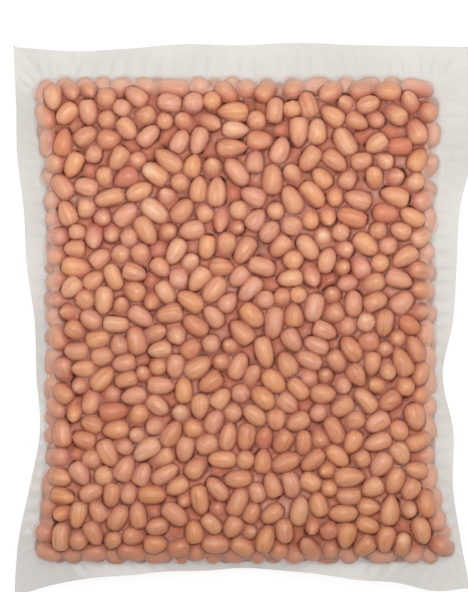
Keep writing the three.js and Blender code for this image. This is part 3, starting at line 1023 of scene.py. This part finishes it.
class PourTree:
    """The Geometry Nodes tree that puts a kernel on each point, of the form, turn and size that it says."""

    SHIFT = 50.0

    INPUTS = (
        ("Forms", "NodeSocketCollection"),
        ("Finish", "NodeSocketMaterial"),
        ("Length Fit", "NodeSocketFloat"),
        ("Plumpness", "NodeSocketFloat"),
        ("Seed", "NodeSocketInt"),
    )

    def __init__(self) -> None:
        """Builds the tree, with named inputs for what differs from heap to heap."""
        self.tree = bpy.data.node_groups.new("Kernel Pour", "GeometryNodeTree")
        sockets = self.tree.interface
        sockets.new_socket("Geometry", in_out="INPUT", socket_type="NodeSocketGeometry")
        self.identifiers = {}
        for name, kind in self.INPUTS:
            made = sockets.new_socket(name, in_out="INPUT", socket_type=kind)
            self.identifiers[name] = made.identifier
        sockets.new_socket("Geometry", in_out="OUTPUT", socket_type="NodeSocketGeometry")
        recipe = Recipe(self.tree)
        given = recipe.add("NodeGroupInput").outputs
        forms = recipe.add(
            "GeometryNodeCollectionInfo",
            {"Collection": given["Forms"], "Separate Children": True, "Reset Children": True},
        )
        plump = given["Plumpness"]
        fit = recipe.add("ShaderNodeCombineXYZ", {0: given["Length Fit"], 1: plump, 2: plump})
        size = recipe.vector("MULTIPLY", self._named(recipe, "size", "FLOAT_VECTOR"), fit.outputs[0])
        placed = recipe.add(
            "GeometryNodeInstanceOnPoints",
            {
                "Points": given["Geometry"],
                "Instance": forms.outputs[0],
                "Pick Instance": True,
                "Instance Index": self._named(recipe, "form", "INT"),
                "Rotation": self._named(recipe, "turn", "QUATERNION"),
                "Scale": size,
            },
        ).outputs[0]
        drawn = (("tone", "FLOAT"), ("blush", "FLOAT"), ("shift", "FLOAT_VECTOR"))
        for step, (name, kind) in enumerate(drawn):
            seed = recipe.maths("ADD", given["Seed"], float(step))
            placed = self._varied(recipe, placed, name, kind, seed)
        joined = recipe.add("GeometryNodeRealizeInstances", {0: placed}).outputs[0]
        smooth = recipe.add("GeometryNodeSetShadeSmooth", {"Geometry": joined}).outputs[0]
        dressed = recipe.add("GeometryNodeSetMaterial", {"Geometry": smooth, "Material": given["Finish"]})
        recipe.add("NodeGroupOutput", {0: dressed.outputs[0]})

    @staticmethod
    def _named(recipe: Recipe, name: str, kind: str) -> Socket:
        """Reads an attribute of the points."""
        return recipe.add("GeometryNodeInputNamedAttribute", {"Name": name}, data_type=kind).outputs[0]

    @staticmethod
    def _varied(recipe: Recipe, placed: Socket, name: str, kind: str, seed: Socket) -> Socket:
        """Gives each kernel a random value of its own.

        Args:
            recipe: The tree's recipe.
            placed: The kernels so far.
            name: The name of the new attribute.
            kind: FLOAT, from 0 to 1, or FLOAT_VECTOR, from 0 to SHIFT each way.
            seed: The attribute's own seed.

        Returns:
            The kernels with the attribute.
        """
        drawn = recipe.add("FunctionNodeRandomValue", {"Seed": seed}, data_type=kind)
        if kind == "FLOAT_VECTOR":
            drawn.inputs[1].default_value = (PourTree.SHIFT,) * 3
        value = next(socket for socket in drawn.outputs if socket.enabled)
        stored = recipe.add(
            "GeometryNodeStoreNamedAttribute",
            {"Geometry": placed, "Name": name, "Value": value},
            data_type=kind,
            domain="INSTANCE",
        )
        return stored.outputs[0]

    def grown(self, name: str, points: Mesh, settings: dict[str, object]) -> Mesh:
        """Runs the tree on a cloud of points and keeps the result as a plain mesh.

        Args:
            name: The name of the new mesh.
            points: Points with the attributes form, turn and size.
            settings: A value for each named input of the tree.

        Returns:
            The joined kernels.
        """
        holder = bpy.data.objects.new(f"{name}_points", points)
        bpy.context.scene.collection.objects.link(holder)
        modifier = holder.modifiers.new("pour", "NODES")
        modifier.node_group = self.tree
        for key, value in settings.items():
            modifier[self.identifiers[key]] = value
        evaluated = holder.evaluated_get(bpy.context.evaluated_depsgraph_get())
        mesh = bpy.data.meshes.new_from_object(evaluated)
        mesh.name = name
        bpy.data.objects.remove(holder)
        bpy.data.meshes.remove(points)
        for scratch in ("form", "turn", "size"):
            if scratch in mesh.attributes:
                mesh.attributes.remove(mesh.attributes[scratch])
        return mesh


@dataclass
class KernelHeap:
    """Kernels of one kind, poured by the tree and joined into one piece."""

    name: str
    kernels: Kernels
    forms: Sequence[Mesh]
    finish: Material
    seed: int
    length_fit: float = 1.0
    plumpness: float = 1.03
    table_room: float = 0.15
    film_reach: float = 2.5
    film_room: float = 0.03
    depth_step: float = 10.0
    turns: Sequence[Quaternion] | None = None

    def build(
        self, tree: PourTree, block: KernelBlock, offset: np.ndarray, films: Sequence[BVHTree]
    ) -> Piece:
        """Pours the heap, and presses its kernels in where they would come through the film or the table.

        Args:
            tree: The Geometry Nodes tree that places them.
            block: The slab that they are packed in.
            offset: From the packing's coordinates to the frame's, in millimetres.
            films: Both sheets of film, to look up the nearest place on each.

        Returns:
            The finished piece.
        """
        collection = bpy.data.collections.new(f"{self.name}_forms")
        for number, form in enumerate(self.forms):
            collection.objects.link(bpy.data.objects.new(f"{self.name}_form_{number}", form))
        settings = {
            "Forms": collection,
            "Finish": self.finish,
            "Length Fit": self.length_fit,
            "Plumpness": self.plumpness,
            "Seed": self.seed,
        }
        mesh = tree.grown(self.name, self._points(offset), settings)
        for form in list(collection.objects):
            bpy.data.objects.remove(form)
        bpy.data.collections.remove(collection)
        places = read_places(mesh)
        depth, _ = block.film_from(places.T / MM - offset[:, None])
        keep_attribute(mesh, "depth", "FLOAT", depth / self.depth_step)
        for number in np.flatnonzero(depth < self.film_reach):
            places[number] = self._tucked(places[number], films)
        floor = (block.table + offset[2] + self.table_room) * MM
        places[:, 2] = np.maximum(places[:, 2], floor)
        mesh.vertices.foreach_set("co", places.astype(np.float32).ravel())
        mesh.update()
        return new_piece(self.name, mesh)

    def _tucked(self, place: np.ndarray, films: Sequence[BVHTree]) -> np.ndarray:
        """Moves a place that lies outside a sheet of film back in under it.

        Args:
            place: A vertex's place, in metres.
            films: Both sheets.

        Returns:
            Its new place.
        """
        room = self.film_room * MM
        for film in films:
            own = Vector(place.tolist())
            nearest, normal, _, _ = film.find_nearest(own, self.film_reach * MM)
            if nearest is not None and (own - nearest).dot(normal) > -room:
                place = np.array(nearest - normal * room)
        return place

    def _points(self, offset: np.ndarray) -> Mesh:
        """The cloud of points, each with its kernel's form, turn and size.

        Args:
            offset: From the packing's coordinates to the frame's, in millimetres.

        Returns:
            A mesh of points alone.
        """
        count = len(self.kernels)
        rng = np.random.default_rng(self.seed)
        form = rng.integers(0, len(self.forms), count)
        rolls = rng.uniform(0, 2 * math.pi, count)
        turns = self.turns or [
            Vector((1, 0, 0)).rotation_difference(Vector(axis)) @ Quaternion((1, 0, 0), roll)
            for axis, roll in zip(self.kernels.axis.T, rolls)
        ]
        radius = self.kernels.radius
        sizes = np.stack([radius + self.kernels.core, radius, radius], axis=1) * MM
        mesh = new_mesh(f"{self.name}_cloud", (self.kernels.middle.T + offset) * MM)
        keep_attribute(mesh, "form", "INT", form)
        keep_attribute(mesh, "turn", "QUATERNION", np.array(turns))
        keep_attribute(mesh, "size", "FLOAT_VECTOR", sizes)
        return mesh


def new_mesh(name: str, places: np.ndarray, faces: Sequence[Sequence[int]] = ()) -> Mesh:
    """Makes a mesh of places, a row for each, and of faces, if it has any.

    Args:
        name: The mesh's name.
        places: A row for each vertex, in metres.
        faces: The numbers of each face's vertices.

    Returns:
        The mesh.
    """
    mesh = bpy.data.meshes.new(name)
    mesh.from_pydata(np.asarray(places).tolist(), [], faces)
    mesh.update()
    return mesh


def keep_attribute(mesh: Mesh, name: str, kind: str, values: np.ndarray) -> None:
    """Gives a mesh an attribute of its vertices.

    Args:
        mesh: The mesh.
        name: The attribute's name.
        kind: Blender's name for its type.
        values: A number or a row of numbers for each vertex.
    """
    field_name = "vector" if kind == "FLOAT_VECTOR" else "value"
    flat = values.astype(np.int32 if kind == "INT" else np.float32).ravel()
    mesh.attributes.new(name, kind, "POINT").data.foreach_set(field_name, flat)


def read_places(mesh: Mesh) -> np.ndarray:
    """The places of a mesh's vertices, one row for each.

    Args:
        mesh: The mesh.

    Returns:
        Its places, in metres.
    """
    places = np.empty(len(mesh.vertices) * 3, np.float32)
    mesh.vertices.foreach_get("co", places)
    return places.reshape(-1, 3)


def new_piece(name: str, mesh: Mesh) -> Piece:
    """Makes an object of a mesh, at the origin and unturned.

    Args:
        name: The piece's name.
        mesh: Its mesh, with its place in it.

    Returns:
        The piece, in the scene.
    """
    piece = bpy.data.objects.new(name, mesh)
    bpy.context.scene.collection.objects.link(piece)
    return piece


# ---- The film ----


@dataclass(frozen=True)
class FreeEdge:
    """The free edge of the film, as distances from the bag's middle at even steps along each side.

    The top and bottom run from left to right, and the sides from bottom to top. Waves are height, count and
    phase, and the count is for once round the bag.
    """

    half_width: float = 114.8
    half_length: float = 138.2
    top: tuple[float, ...] = (136.2, 134.4, 135.8, 138, 137.2, 138.6, 137.6, 137, 136.5)
    bottom: tuple[float, ...] = (
        138, 132.8, 129, 127.6, 125.8, 125.4, 124.1, 125.4, 127, 129.8, 131.4, 135.6, 134
    )
    left: tuple[float, ...] = (114.4, 112.3, 106.5, 101.4, 103.4, 104.2, 108, 109.6, 113, 113.6, 114.6)
    right: tuple[float, ...] = (113.6, 109, 104.8, 105.2, 99.9, 105, 106.8, 108.4, 114.9, 115.6, 115.4)
    waves: tuple[tuple[float, int, float], ...] = ((1.3, 9, 0.6), (0.7, 16, 2.1))
    stations: int = 106
    corner_stations: int = 5
    side_stations: tuple[int, int] = (18, 23)

    @staticmethod
    def smooth_at(distances: Sequence[float], share: np.ndarray) -> np.ndarray:
        """A smooth curve through evenly spaced distances.

        Args:
            distances: The distances to run through.
            share: Places along them, from -1 to 1.

        Returns:
            The distance at each place.
        """
        given = np.array(distances)
        steps = len(given) - 1
        place = np.clip((share + 1) / 2 * steps, 0, steps)
        i = np.minimum(steps - 1, np.floor(place).astype(int))
        t = place - i
        before, start, to, after = (given[np.clip(i + n, 0, steps)] for n in (-1, 0, 1, 2))
        step = to - start
        slope_from, slope_to = (to - before) / 2, (after - start) / 2
        bend = 3 * step - 2 * slope_from - slope_to
        twist = slope_from + slope_to - 2 * step
        return start + t * (slope_from + t * (bend + t * twist))

    def outline(
        self, core: np.ndarray, away: np.ndarray, limits: np.ndarray
    ) -> tuple[np.ndarray, np.ndarray]:
        """Where the free edge lies straight out from points of the core.

        Args:
            core: Points of the core, x and y along the first axis.
            away: Unit vectors out from them, in the same layout.
            limits: Half the core's width and length.

        Returns:
            The edge's x and y.
        """
        steepest = np.maximum(np.maximum(np.abs(away[0]), np.abs(away[1])), TINY)
        x = core[0] + (self.half_width - limits[0]) * away[0] / steepest
        y = core[1] + (self.half_length - limits[1]) * away[1] / steepest
        across = np.where(
            x < 0,
            self.smooth_at(self.left, y / self.half_length),
            self.smooth_at(self.right, y / self.half_length),
        )
        along = np.where(
            y < 0,
            self.smooth_at(self.bottom, x / self.half_width),
            self.smooth_at(self.top, x / self.half_width),
        )
        edge_x = np.where(np.abs(away[0]) >= steepest, np.sign(x) * across, x)
        edge_y = np.where(np.abs(away[1]) >= steepest, np.sign(y) * along, y)
        return edge_x, edge_y

    def turn_at(self, core: np.ndarray, away: np.ndarray, limits: np.ndarray) -> np.ndarray:
        """How far round the bag places are, as an angle that grows anticlockwise from the top right corner.

        Args:
            core: Points of the core, x and y along the first axis.
            away: Unit vectors out from them, in the same layout.
            limits: Half the core's width and length.

        Returns:
            Angles from 0 to a whole turn, in the even steps of the CAD part's stations.
        """
        angle = np.arctan2(away[1], away[0])
        corners = ((1, 1), (-1, 1), (-1, -1), (1, -1))
        number = np.zeros_like(core[0])
        base = 0
        for i, (sx, sy) in enumerate(corners):
            ex, ey = corners[(i + 1) % 4]
            count = self.side_stations[i % 2]
            start = math.pi / 4 + i * math.pi / 2
            turned = (angle - start + math.pi) % (2 * math.pi) - math.pi
            at_corner = (core[0] * sx >= limits[0] - TINY) & (core[1] * sy >= limits[1] - TINY)
            corner_number = base + self.corner_stations * (turned / (math.pi / 2) + 0.5) - 0.5
            in_corner = at_corner & (np.abs(turned) <= math.pi / 4 + CLOSE)
            number = np.where(in_corner, corner_number, number)
            way = np.array([ex - sx, ey - sy]) / 2
            along = (core[0] / limits[0] - sx) * way[0] / 2 + (core[1] / limits[1] - sy) * way[1] / 2
            square_out = np.abs(turned - math.pi / 4) < CLOSE
            side_number = base + self.corner_stations + along * count
            number = np.where(square_out & (along > TINY) & (along < 1 - TINY), side_number, number)
            base += self.corner_stations + count + 1
        return number * (2 * math.pi / self.stations)

    def wave_at(self, turn: np.ndarray) -> np.ndarray:
        """How high the free edge stands above the seal plane."""
        return sum(height * np.sin(count * turn + phase) for height, count, phase in self.waves)


class Side(Enum):
    """The two sheets of the bag. The value is the way that each faces along Z."""

    FRONT = 1
    BACK = -1


@dataclass
class FilmSheet:
    """One sheet of film, sucked tight over the kernels, pressed to the other and run out to its free edge.

    Puckers are waves in the sealed border, each with its height, its count once round the bag and its phase.
    """

    side: Side
    block: KernelBlock
    edge: FreeEdge
    kernels: Kernels
    spacing: float = 1.2
    border_run: float = 18.0
    cling: float = 1.05
    stand_off: float = 0.12
    sealed_gap: float = 0.06
    seal_reach: float = 4.0
    gap_lift: float = 0.8
    suction: float = 0.5
    rounds: int = 120
    list_every: int = 40
    neighbours: int = 10
    loose_border: float = 0.6
    table_room: float = 0.02
    puckers: tuple[tuple[float, float, float], ...] = ((0.35, 131, 0.0), (0.21, 310.47, 1.0))

    def build(self, offset: np.ndarray, finish: Material) -> Piece:
        """Draws the sheet tight and makes its mesh.

        Args:
            offset: From the packing's coordinates to the frame's, in millimetres.
            finish: The film's material.

        Returns:
            The finished piece.
        """
        flat = self._flat_map()
        start, seam, border = self._laid_out(flat)
        place = self._drawn_tight(start, seam, border)
        place[2] = np.maximum(place[2], self.block.table + self.table_room)
        out, _ = self._facing(np.pad(start, ((0, 0), (1, 1), (1, 1)), mode="edge"))
        rim = 1 - np.abs(out[2])
        rim[border > 0] = 1
        off_seam = np.abs(place[2] - seam)
        sealed = np.clip((self.seal_reach - off_seam) / self.seal_reach, 0, 1)
        gap = self._lifted(place) * (1 - sealed) * (1 - rim)
        mesh = self._mesh(place + offset[:, None, None])
        for name, values in (("gap", gap), ("rim", rim), ("sealed", sealed)):
            keep_attribute(mesh, name, "FLOAT", values)
        mesh.materials.append(finish)
        return new_piece(mesh.name, mesh)

    @staticmethod
    def looked_up(mesh: Mesh) -> BVHTree:
        """A finished sheet in a form in which the nearest place on it is found fast."""
        faces = [tuple(face.vertices) for face in mesh.polygons]
        return BVHTree.FromPolygons([vertex.co for vertex in mesh.vertices], faces)

    def _flat_map(self) -> np.ndarray:
        """An even grid over the sheet laid flat: x and y along the first axis."""
        reach = self.block.core + self.block.rim_arc + self.border_run
        lines = [np.linspace(-far, far, 2 * round(far / self.spacing) + 1) for far in reach]
        return np.array(np.meshgrid(*lines, indexing="ij"))

    def _laid_out(self, flat: np.ndarray) -> tuple[np.ndarray, np.ndarray, np.ndarray]:
        """Wraps the flat grid round the smooth slab and runs it out to the free edge.

        Args:
            flat: The grid of the flat map.

        Returns:
            The grid's places, the height of the seam under or over each, and the share of the way from the
            block's rim to the free edge.
        """
        block = self.block
        limits = block.core
        core = np.array([np.clip(line, -far, far) for line, far in zip(flat, limits)])
        out = flat - core
        run = np.hypot(*out)
        away = out / np.maximum(run, TINY)
        arc = np.minimum(run, block.rim_arc) / block.edge_radius
        u = core[0] + block.edge_radius * np.sin(arc) * away[0]
        y = core[1] + block.edge_radius * np.sin(arc) * away[1]
        side = block.side_at(u, y)
        above = np.full(u.shape, self.side is Side.FRONT)
        half = block.half_thickness(u / block.flat_half, y / block.half_length, above)
        slab = np.array([u * side / block.flat_half, y, self.side.value * half * np.cos(arc)])

        steepest = np.maximum(np.maximum(np.abs(away[0]), np.abs(away[1])), TINY)
        whole = (block.rim_arc + self.border_run) / steepest - block.rim_arc
        border = np.clip((run - block.rim_arc) / whole, 0, 1)
        border[run <= block.rim_arc] = 0
        edge_x, edge_y = self.edge.outline(core, away, limits)
        turn = self.edge.turn_at(core, away, limits)
        seam = border * self.edge.wave_at(turn)
        puckers = sum(height * np.sin(count * turn + phase) for height, count, phase in self.puckers)
        seam += puckers * border * (1 - border) ** 2 * 4
        far = np.array([edge_x, edge_y, self.edge.wave_at(turn)])
        return slab * (1 - border) + far * border, seam, border

    def _facing(self, place: np.ndarray) -> tuple[np.ndarray, np.ndarray]:
        """Unit vectors out of the bag from the grid's inner places, and the area of film at each.

        Args:
            place: The grid's places.

        Returns:
            The vectors and the areas, without the grid's outer lines.
        """
        across = place[:, 2:, 1:-1] - place[:, :-2, 1:-1]
        along = place[:, 1:-1, 2:] - place[:, 1:-1, :-2]
        normal = np.cross(across, along, axis=0) * self.side.value
        size = np.sqrt(dot(normal, normal)) + TINY
        return normal / size, size / 4

    def _drawn_tight(self, start: np.ndarray, seam: np.ndarray, border: np.ndarray) -> np.ndarray:
        """Lets tension and suction pull the sheet in until kernels and seam hold it.

        Args:
            start: The grid's first places.
            seam: The height at which the two sheets meet.
            border: The share of the way out to the free edge.

        Returns:
            The grid's last places. The free edge doesn't move.
        """
        place = start.copy()
        facing = self.side.value
        seam_face = facing * seam[1:-1, 1:-1] + self.sealed_gap
        touching = (border < self.loose_border)[1:-1, 1:-1]
        near = None
        for turn in range(self.rounds):
            inner = place[:, 1:-1, 1:-1]
            across = place[:, :-2, 1:-1] + place[:, 2:, 1:-1]
            around = (across + place[:, 1:-1, :-2] + place[:, 1:-1, 2:]) / 4
            out, area = self._facing(place)
            moved = around - out * (self.suction / 4 * np.minimum(area, self.spacing**2))
            if turn % self.list_every == 0:
                near = self._nearest(inner[:, touching])
            moved[:, touching] = self._pushed_out(moved[:, touching], near)
            moved[2] = facing * np.maximum(facing * moved[2], seam_face)
            place[:, 1:-1, 1:-1] = moved
        place[2] = np.where(border >= 1, seam, place[2])
        return place

    def _nearest(self, points: np.ndarray) -> np.ndarray:
        """The numbers of the kernels nearest to each point, a row for each point.

        Args:
            points: Places to look from.

        Returns:
            The numbers, the nearest first.
        """
        tree = KDTree(len(self.kernels))
        for number, middle in enumerate(self.kernels.middle.T):
            tree.insert(middle, number)
        tree.balance()
        found = (tree.find_n(point, self.neighbours) for point in points.T.tolist())
        return np.array([[number for _, number, _ in row] for row in found])

    def _gaps(self, points: np.ndarray, near: np.ndarray) -> tuple[np.ndarray, np.ndarray]:
        """How far points are from where their nearest kernels hold the film.

        Args:
            points: Places to look at.
            near: The numbers of the kernels near each.

        Returns:
            The gap to each kernel, and the unit vector away from it.
        """
        kernels = self.kernels
        to = points[:, :, None] - kernels.middle[:, near]
        axis = kernels.axis[:, near]
        core = kernels.core[near]
        away = to - axis * np.clip(dot(to, axis), -core, core)
        far = np.sqrt(dot(away, away)) + TINY
        return far - (kernels.radius[near] * self.cling + self.stand_off), away / far

    def _pushed_out(self, points: np.ndarray, near: np.ndarray) -> np.ndarray:
        """Moves points that have sunk into a kernel straight out of the deepest one.

        Args:
            points: Places on the film.
            near: The numbers of the kernels near each.

        Returns:
            Their new places.
        """
        gap, away = self._gaps(points, near)
        deepest = np.argmin(gap, axis=1)[:, None]
        depth = np.minimum(0, np.take_along_axis(gap, deepest, axis=1))[:, 0]
        out = np.take_along_axis(away, deepest[None], axis=2)[:, :, 0]
        return points - out * depth

    def _lifted(self, place: np.ndarray) -> np.ndarray:
        """How far the film stands off the kernels: 0 where it touches one, and 1 from gap_lift up.

        Args:
            place: The grid's places.

        Returns:
            The share for each place of the grid.
        """
        points = place.reshape(3, -1)
        gap, _ = self._gaps(points, self._nearest(points))
        return np.clip(gap.min(axis=1) / self.gap_lift, 0, 1).reshape(place.shape[1:])

    def _mesh(self, place: np.ndarray) -> Mesh:
        """Makes the grid a mesh that faces out of the bag.

        Args:
            place: The grid's places in the frame, in millimetres.

        Returns:
            The mesh.
        """
        rows, columns = place.shape[1:]
        number = np.arange(rows * columns).reshape(rows, columns)
        corners = [number[:-1, :-1], number[1:, :-1], number[1:, 1:], number[:-1, 1:]]
        faces = np.stack([c.ravel() for c in corners[:: self.side.value]], axis=1)
        mesh = new_mesh(f"film_{self.side.name.lower()}", place.reshape(3, -1).T * MM, faces.tolist())
        mesh.shade_smooth()
        return mesh


# ---- The studio ----


@dataclass(frozen=True)
class Softbox:
    """A round soft light that faces the bag: its place and width in metres, and its power in watts."""

    name: str
    place: Triple
    size: float
    power: float

    def build(self) -> None:
        """Makes the light, which the camera doesn't see."""
        data = bpy.data.lights.new(self.name, "AREA")
        data.shape = "DISK"
        data.size = self.size
        data.energy = self.power
        light = bpy.data.objects.new(self.name, data)
        place = Vector(self.place)
        light.matrix_world = Matrix.Translation(place) @ place.to_track_quat("Z", "Y").to_matrix().to_4x4()
        light.visible_camera = False
        bpy.context.scene.collection.objects.link(light)


@dataclass
class Studio:
    """A white sweep, soft light from all round the camera, and a camera over the lying bag.

    Lengths are in metres, but for the middle of the view and the sensor, which are in millimetres.
    """

    view_height: float = 0.296
    view_middle: tuple[float, float] = (-4.5, 12.0)
    camera_height: float = 1.2
    sensor: float = 36.0
    floor_half: float = 4.0
    softboxes: tuple[Softbox, ...] = (
        Softbox("front", (0.03, 0.16, 1.0), 0.75, 8.2),
        Softbox("left", (-0.9, 0.3, 0.8), 0.9, 2.6),
        Softbox("right", (0.9, 0.3, 0.8), 0.9, 3.2),
    )
    sky: float = 0.43
    floor: FloorFinish = field(default_factory=FloorFinish)

    def build(self, offset: np.ndarray) -> None:
        """Makes the floor, lights and camera.

        Args:
            offset: From the packing's coordinates to the frame's, in millimetres.
        """
        self._floor()
        self._lights()
        self._camera(offset)
        scene = bpy.context.scene
        scene.view_settings.view_transform = "Standard"
        scene.view_settings.look = "None"

    def _floor(self) -> None:
        """A wide plane under the bag."""
        far = self.floor_half
        corners = np.array([(-far, -far, 0), (far, -far, 0), (far, far, 0), (-far, far, 0)])
        mesh = new_mesh("floor", corners, [(0, 1, 2, 3)])
        mesh.materials.append(self.floor.material())
        new_piece("floor", mesh)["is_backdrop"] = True

    def _lights(self) -> None:
        """The softboxes, and an even white sky."""
        for softbox in self.softboxes:
            softbox.build()
        world = bpy.data.worlds.new("sky")
        world.use_nodes = True
        background = world.node_tree.nodes["Background"]
        Recipe(world.node_tree).fill(background, {"Color": (1.0, 1.0, 1.0, 1.0), "Strength": self.sky})
        bpy.context.scene.world = world

    def _camera(self, offset: np.ndarray) -> None:
        """A camera straight above the middle of the photo's frame.

        Args:
            offset: From the packing's coordinates to the frame's, in millimetres.
        """
        data = bpy.data.cameras.new("camera")
        data.sensor_fit = "VERTICAL"
        data.sensor_height = self.sensor
        data.lens = self.sensor * self.camera_height / self.view_height
        camera = bpy.data.objects.new("camera", data)
        x, y = ((np.array(self.view_middle) + offset[:2]) * MM).tolist()
        camera.location = (x, y, self.camera_height + offset[2] * MM)
        bpy.context.scene.collection.objects.link(camera)
        bpy.context.scene.camera = camera


# ---- The bag ----


@dataclass
class PeanutBag:
    """The whole bag: its kernels, a few of them rubbed pale, and the two sheets of film."""

    block: KernelBlock = field(default_factory=KernelBlock)
    pour: KernelPour = field(default_factory=KernelPour)
    edge: FreeEdge = field(default_factory=FreeEdge)
    film_depth: float = 6.0
    edge_samples: int = 2001
    rubbed_places: tuple[tuple[float, float], ...] = ((43.5, 42.5), (76.0, -106.0), (-38.0, 68.0))

    def offset(self) -> np.ndarray:
        """The way from the packing's coordinates to the frame's, from the boxes of both free edges."""
        shares = np.linspace(-1, 1, self.edge_samples)
        sides = [self.edge.smooth_at(line, shares).max() for line in (self.edge.left, self.edge.right)]
        ends = [self.edge.smooth_at(line, shares).max() for line in (self.edge.bottom, self.edge.top)]
        low, high = (np.array(corner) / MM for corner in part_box(NODE))
        middle = (low + high) / 2
        own = np.array([sides[1] - sides[0], ends[1] - ends[0]]) / 2
        return np.array([middle[0] - own[0], middle[1] - own[1], low[2] - self.block.table])

    def build(self) -> Iterable[Piece]:
        """Builds the pieces in turn.

        Returns:
            Each finished piece.
        """
        offset = self.offset()
        kernels = self.pour.packed(self.block)
        gaps = kernels.gap_to_film(self.block)
        shell = gaps < self.pour.touch_depth
        rubbed = self._rubbed_numbers(kernels, shell)
        plain = np.ones(len(kernels), bool)
        plain[rubbed] = False
        tree = PourTree()
        skin = SkinFinish().material()
        forms = [KernelForm(form).mesh() for form in Form]
        plain_forms = [KernelForm(form, segments=8, bands=6).mesh() for form in (Form.PLUMP, Form.BENT)]

        film = FilmFinish().material()
        films = []
        for side in Side:
            sheet = FilmSheet(side, self.block, self.edge, kernels.those(gaps < self.film_depth))
            piece = sheet.build(offset, film)
            films.append(sheet.looked_up(piece.data))
            yield self._owned(piece, "clear_film")
        pale = kernels.those(rubbed)
        worn = SkinFinish(name="rubbed_skin", rubbed=0.4).material()
        heaps = (
            KernelHeap("kernels_outer", kernels.those(shell & plain), forms, skin, seed=11),
            KernelHeap("kernels_inner", kernels.those(~shell), plain_forms, skin, seed=12),
            KernelHeap("kernels_rubbed", pale, forms, worn, seed=13, turns=self._face_out(pale)),
        )
        for heap in heaps:
            yield self._owned(heap.build(tree, self.block, offset, films), "peanut_skin")

    @staticmethod
    def _owned(piece: Piece, slot: str) -> Piece:
        """Ties a piece to the frame: it rides on the one body and stands for the bag's solid.

        Args:
            piece: The piece.
            slot: Not used.

        Returns:
            The same piece.
        """
        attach(piece, "root")
        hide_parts(NODE)
        return piece

    def _rubbed_numbers(self, kernels: Kernels, shell: np.ndarray) -> list[int]:
        """The numbers of the front kernels nearest to the places where a rubbed one shows.

        Args:
            kernels: All kernels.
            shell: Which of them touch the film.

        Returns:
            A number for each place.
        """
        front = np.flatnonzero(shell & (kernels.middle[2] > self.block.height / 4))
        found = []
        for x, y in self.rubbed_places:
            away = np.hypot(kernels.middle[0, front] - x, kernels.middle[1, front] - y)
            found.append(int(front[np.argmin(away)]))
        return found

    def _face_out(self, kernels: Kernels) -> list[Quaternion]:
        """Turns that lay kernels along their axes with the same side towards the film.

        Args:
            kernels: The kernels to turn.

        Returns:
            A turn for each.
        """
        _, out = self.block.film_from(kernels.middle)
        turns = []
        for axis, away in zip(kernels.axis.T, out.T):
            along = Vector(axis).normalized()
            across = Vector(away).cross(along).normalized()
            up = along.cross(across)
            turns.append(Matrix((along, across, up)).transposed().to_quaternion())
        return turns


def main() -> None:
    logging.basicConfig(level=logging.INFO, format="%(message)s", stream=sys.stdout)
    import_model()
    cad_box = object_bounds()
    bag = PeanutBag()
    for piece in bag.build():
        triangles = sum(len(face.vertices) - 2 for face in piece.data.polygons)
        LOG.info("%s: %d triangles", piece.name, triangles)
    Studio().build(bag.offset())
    boxes = {"cad": cad_box, "visual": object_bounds()}
    {name: [list(corner) for corner in box] for name, box in boxes.items()}


if __name__ == "__main__":
    main()
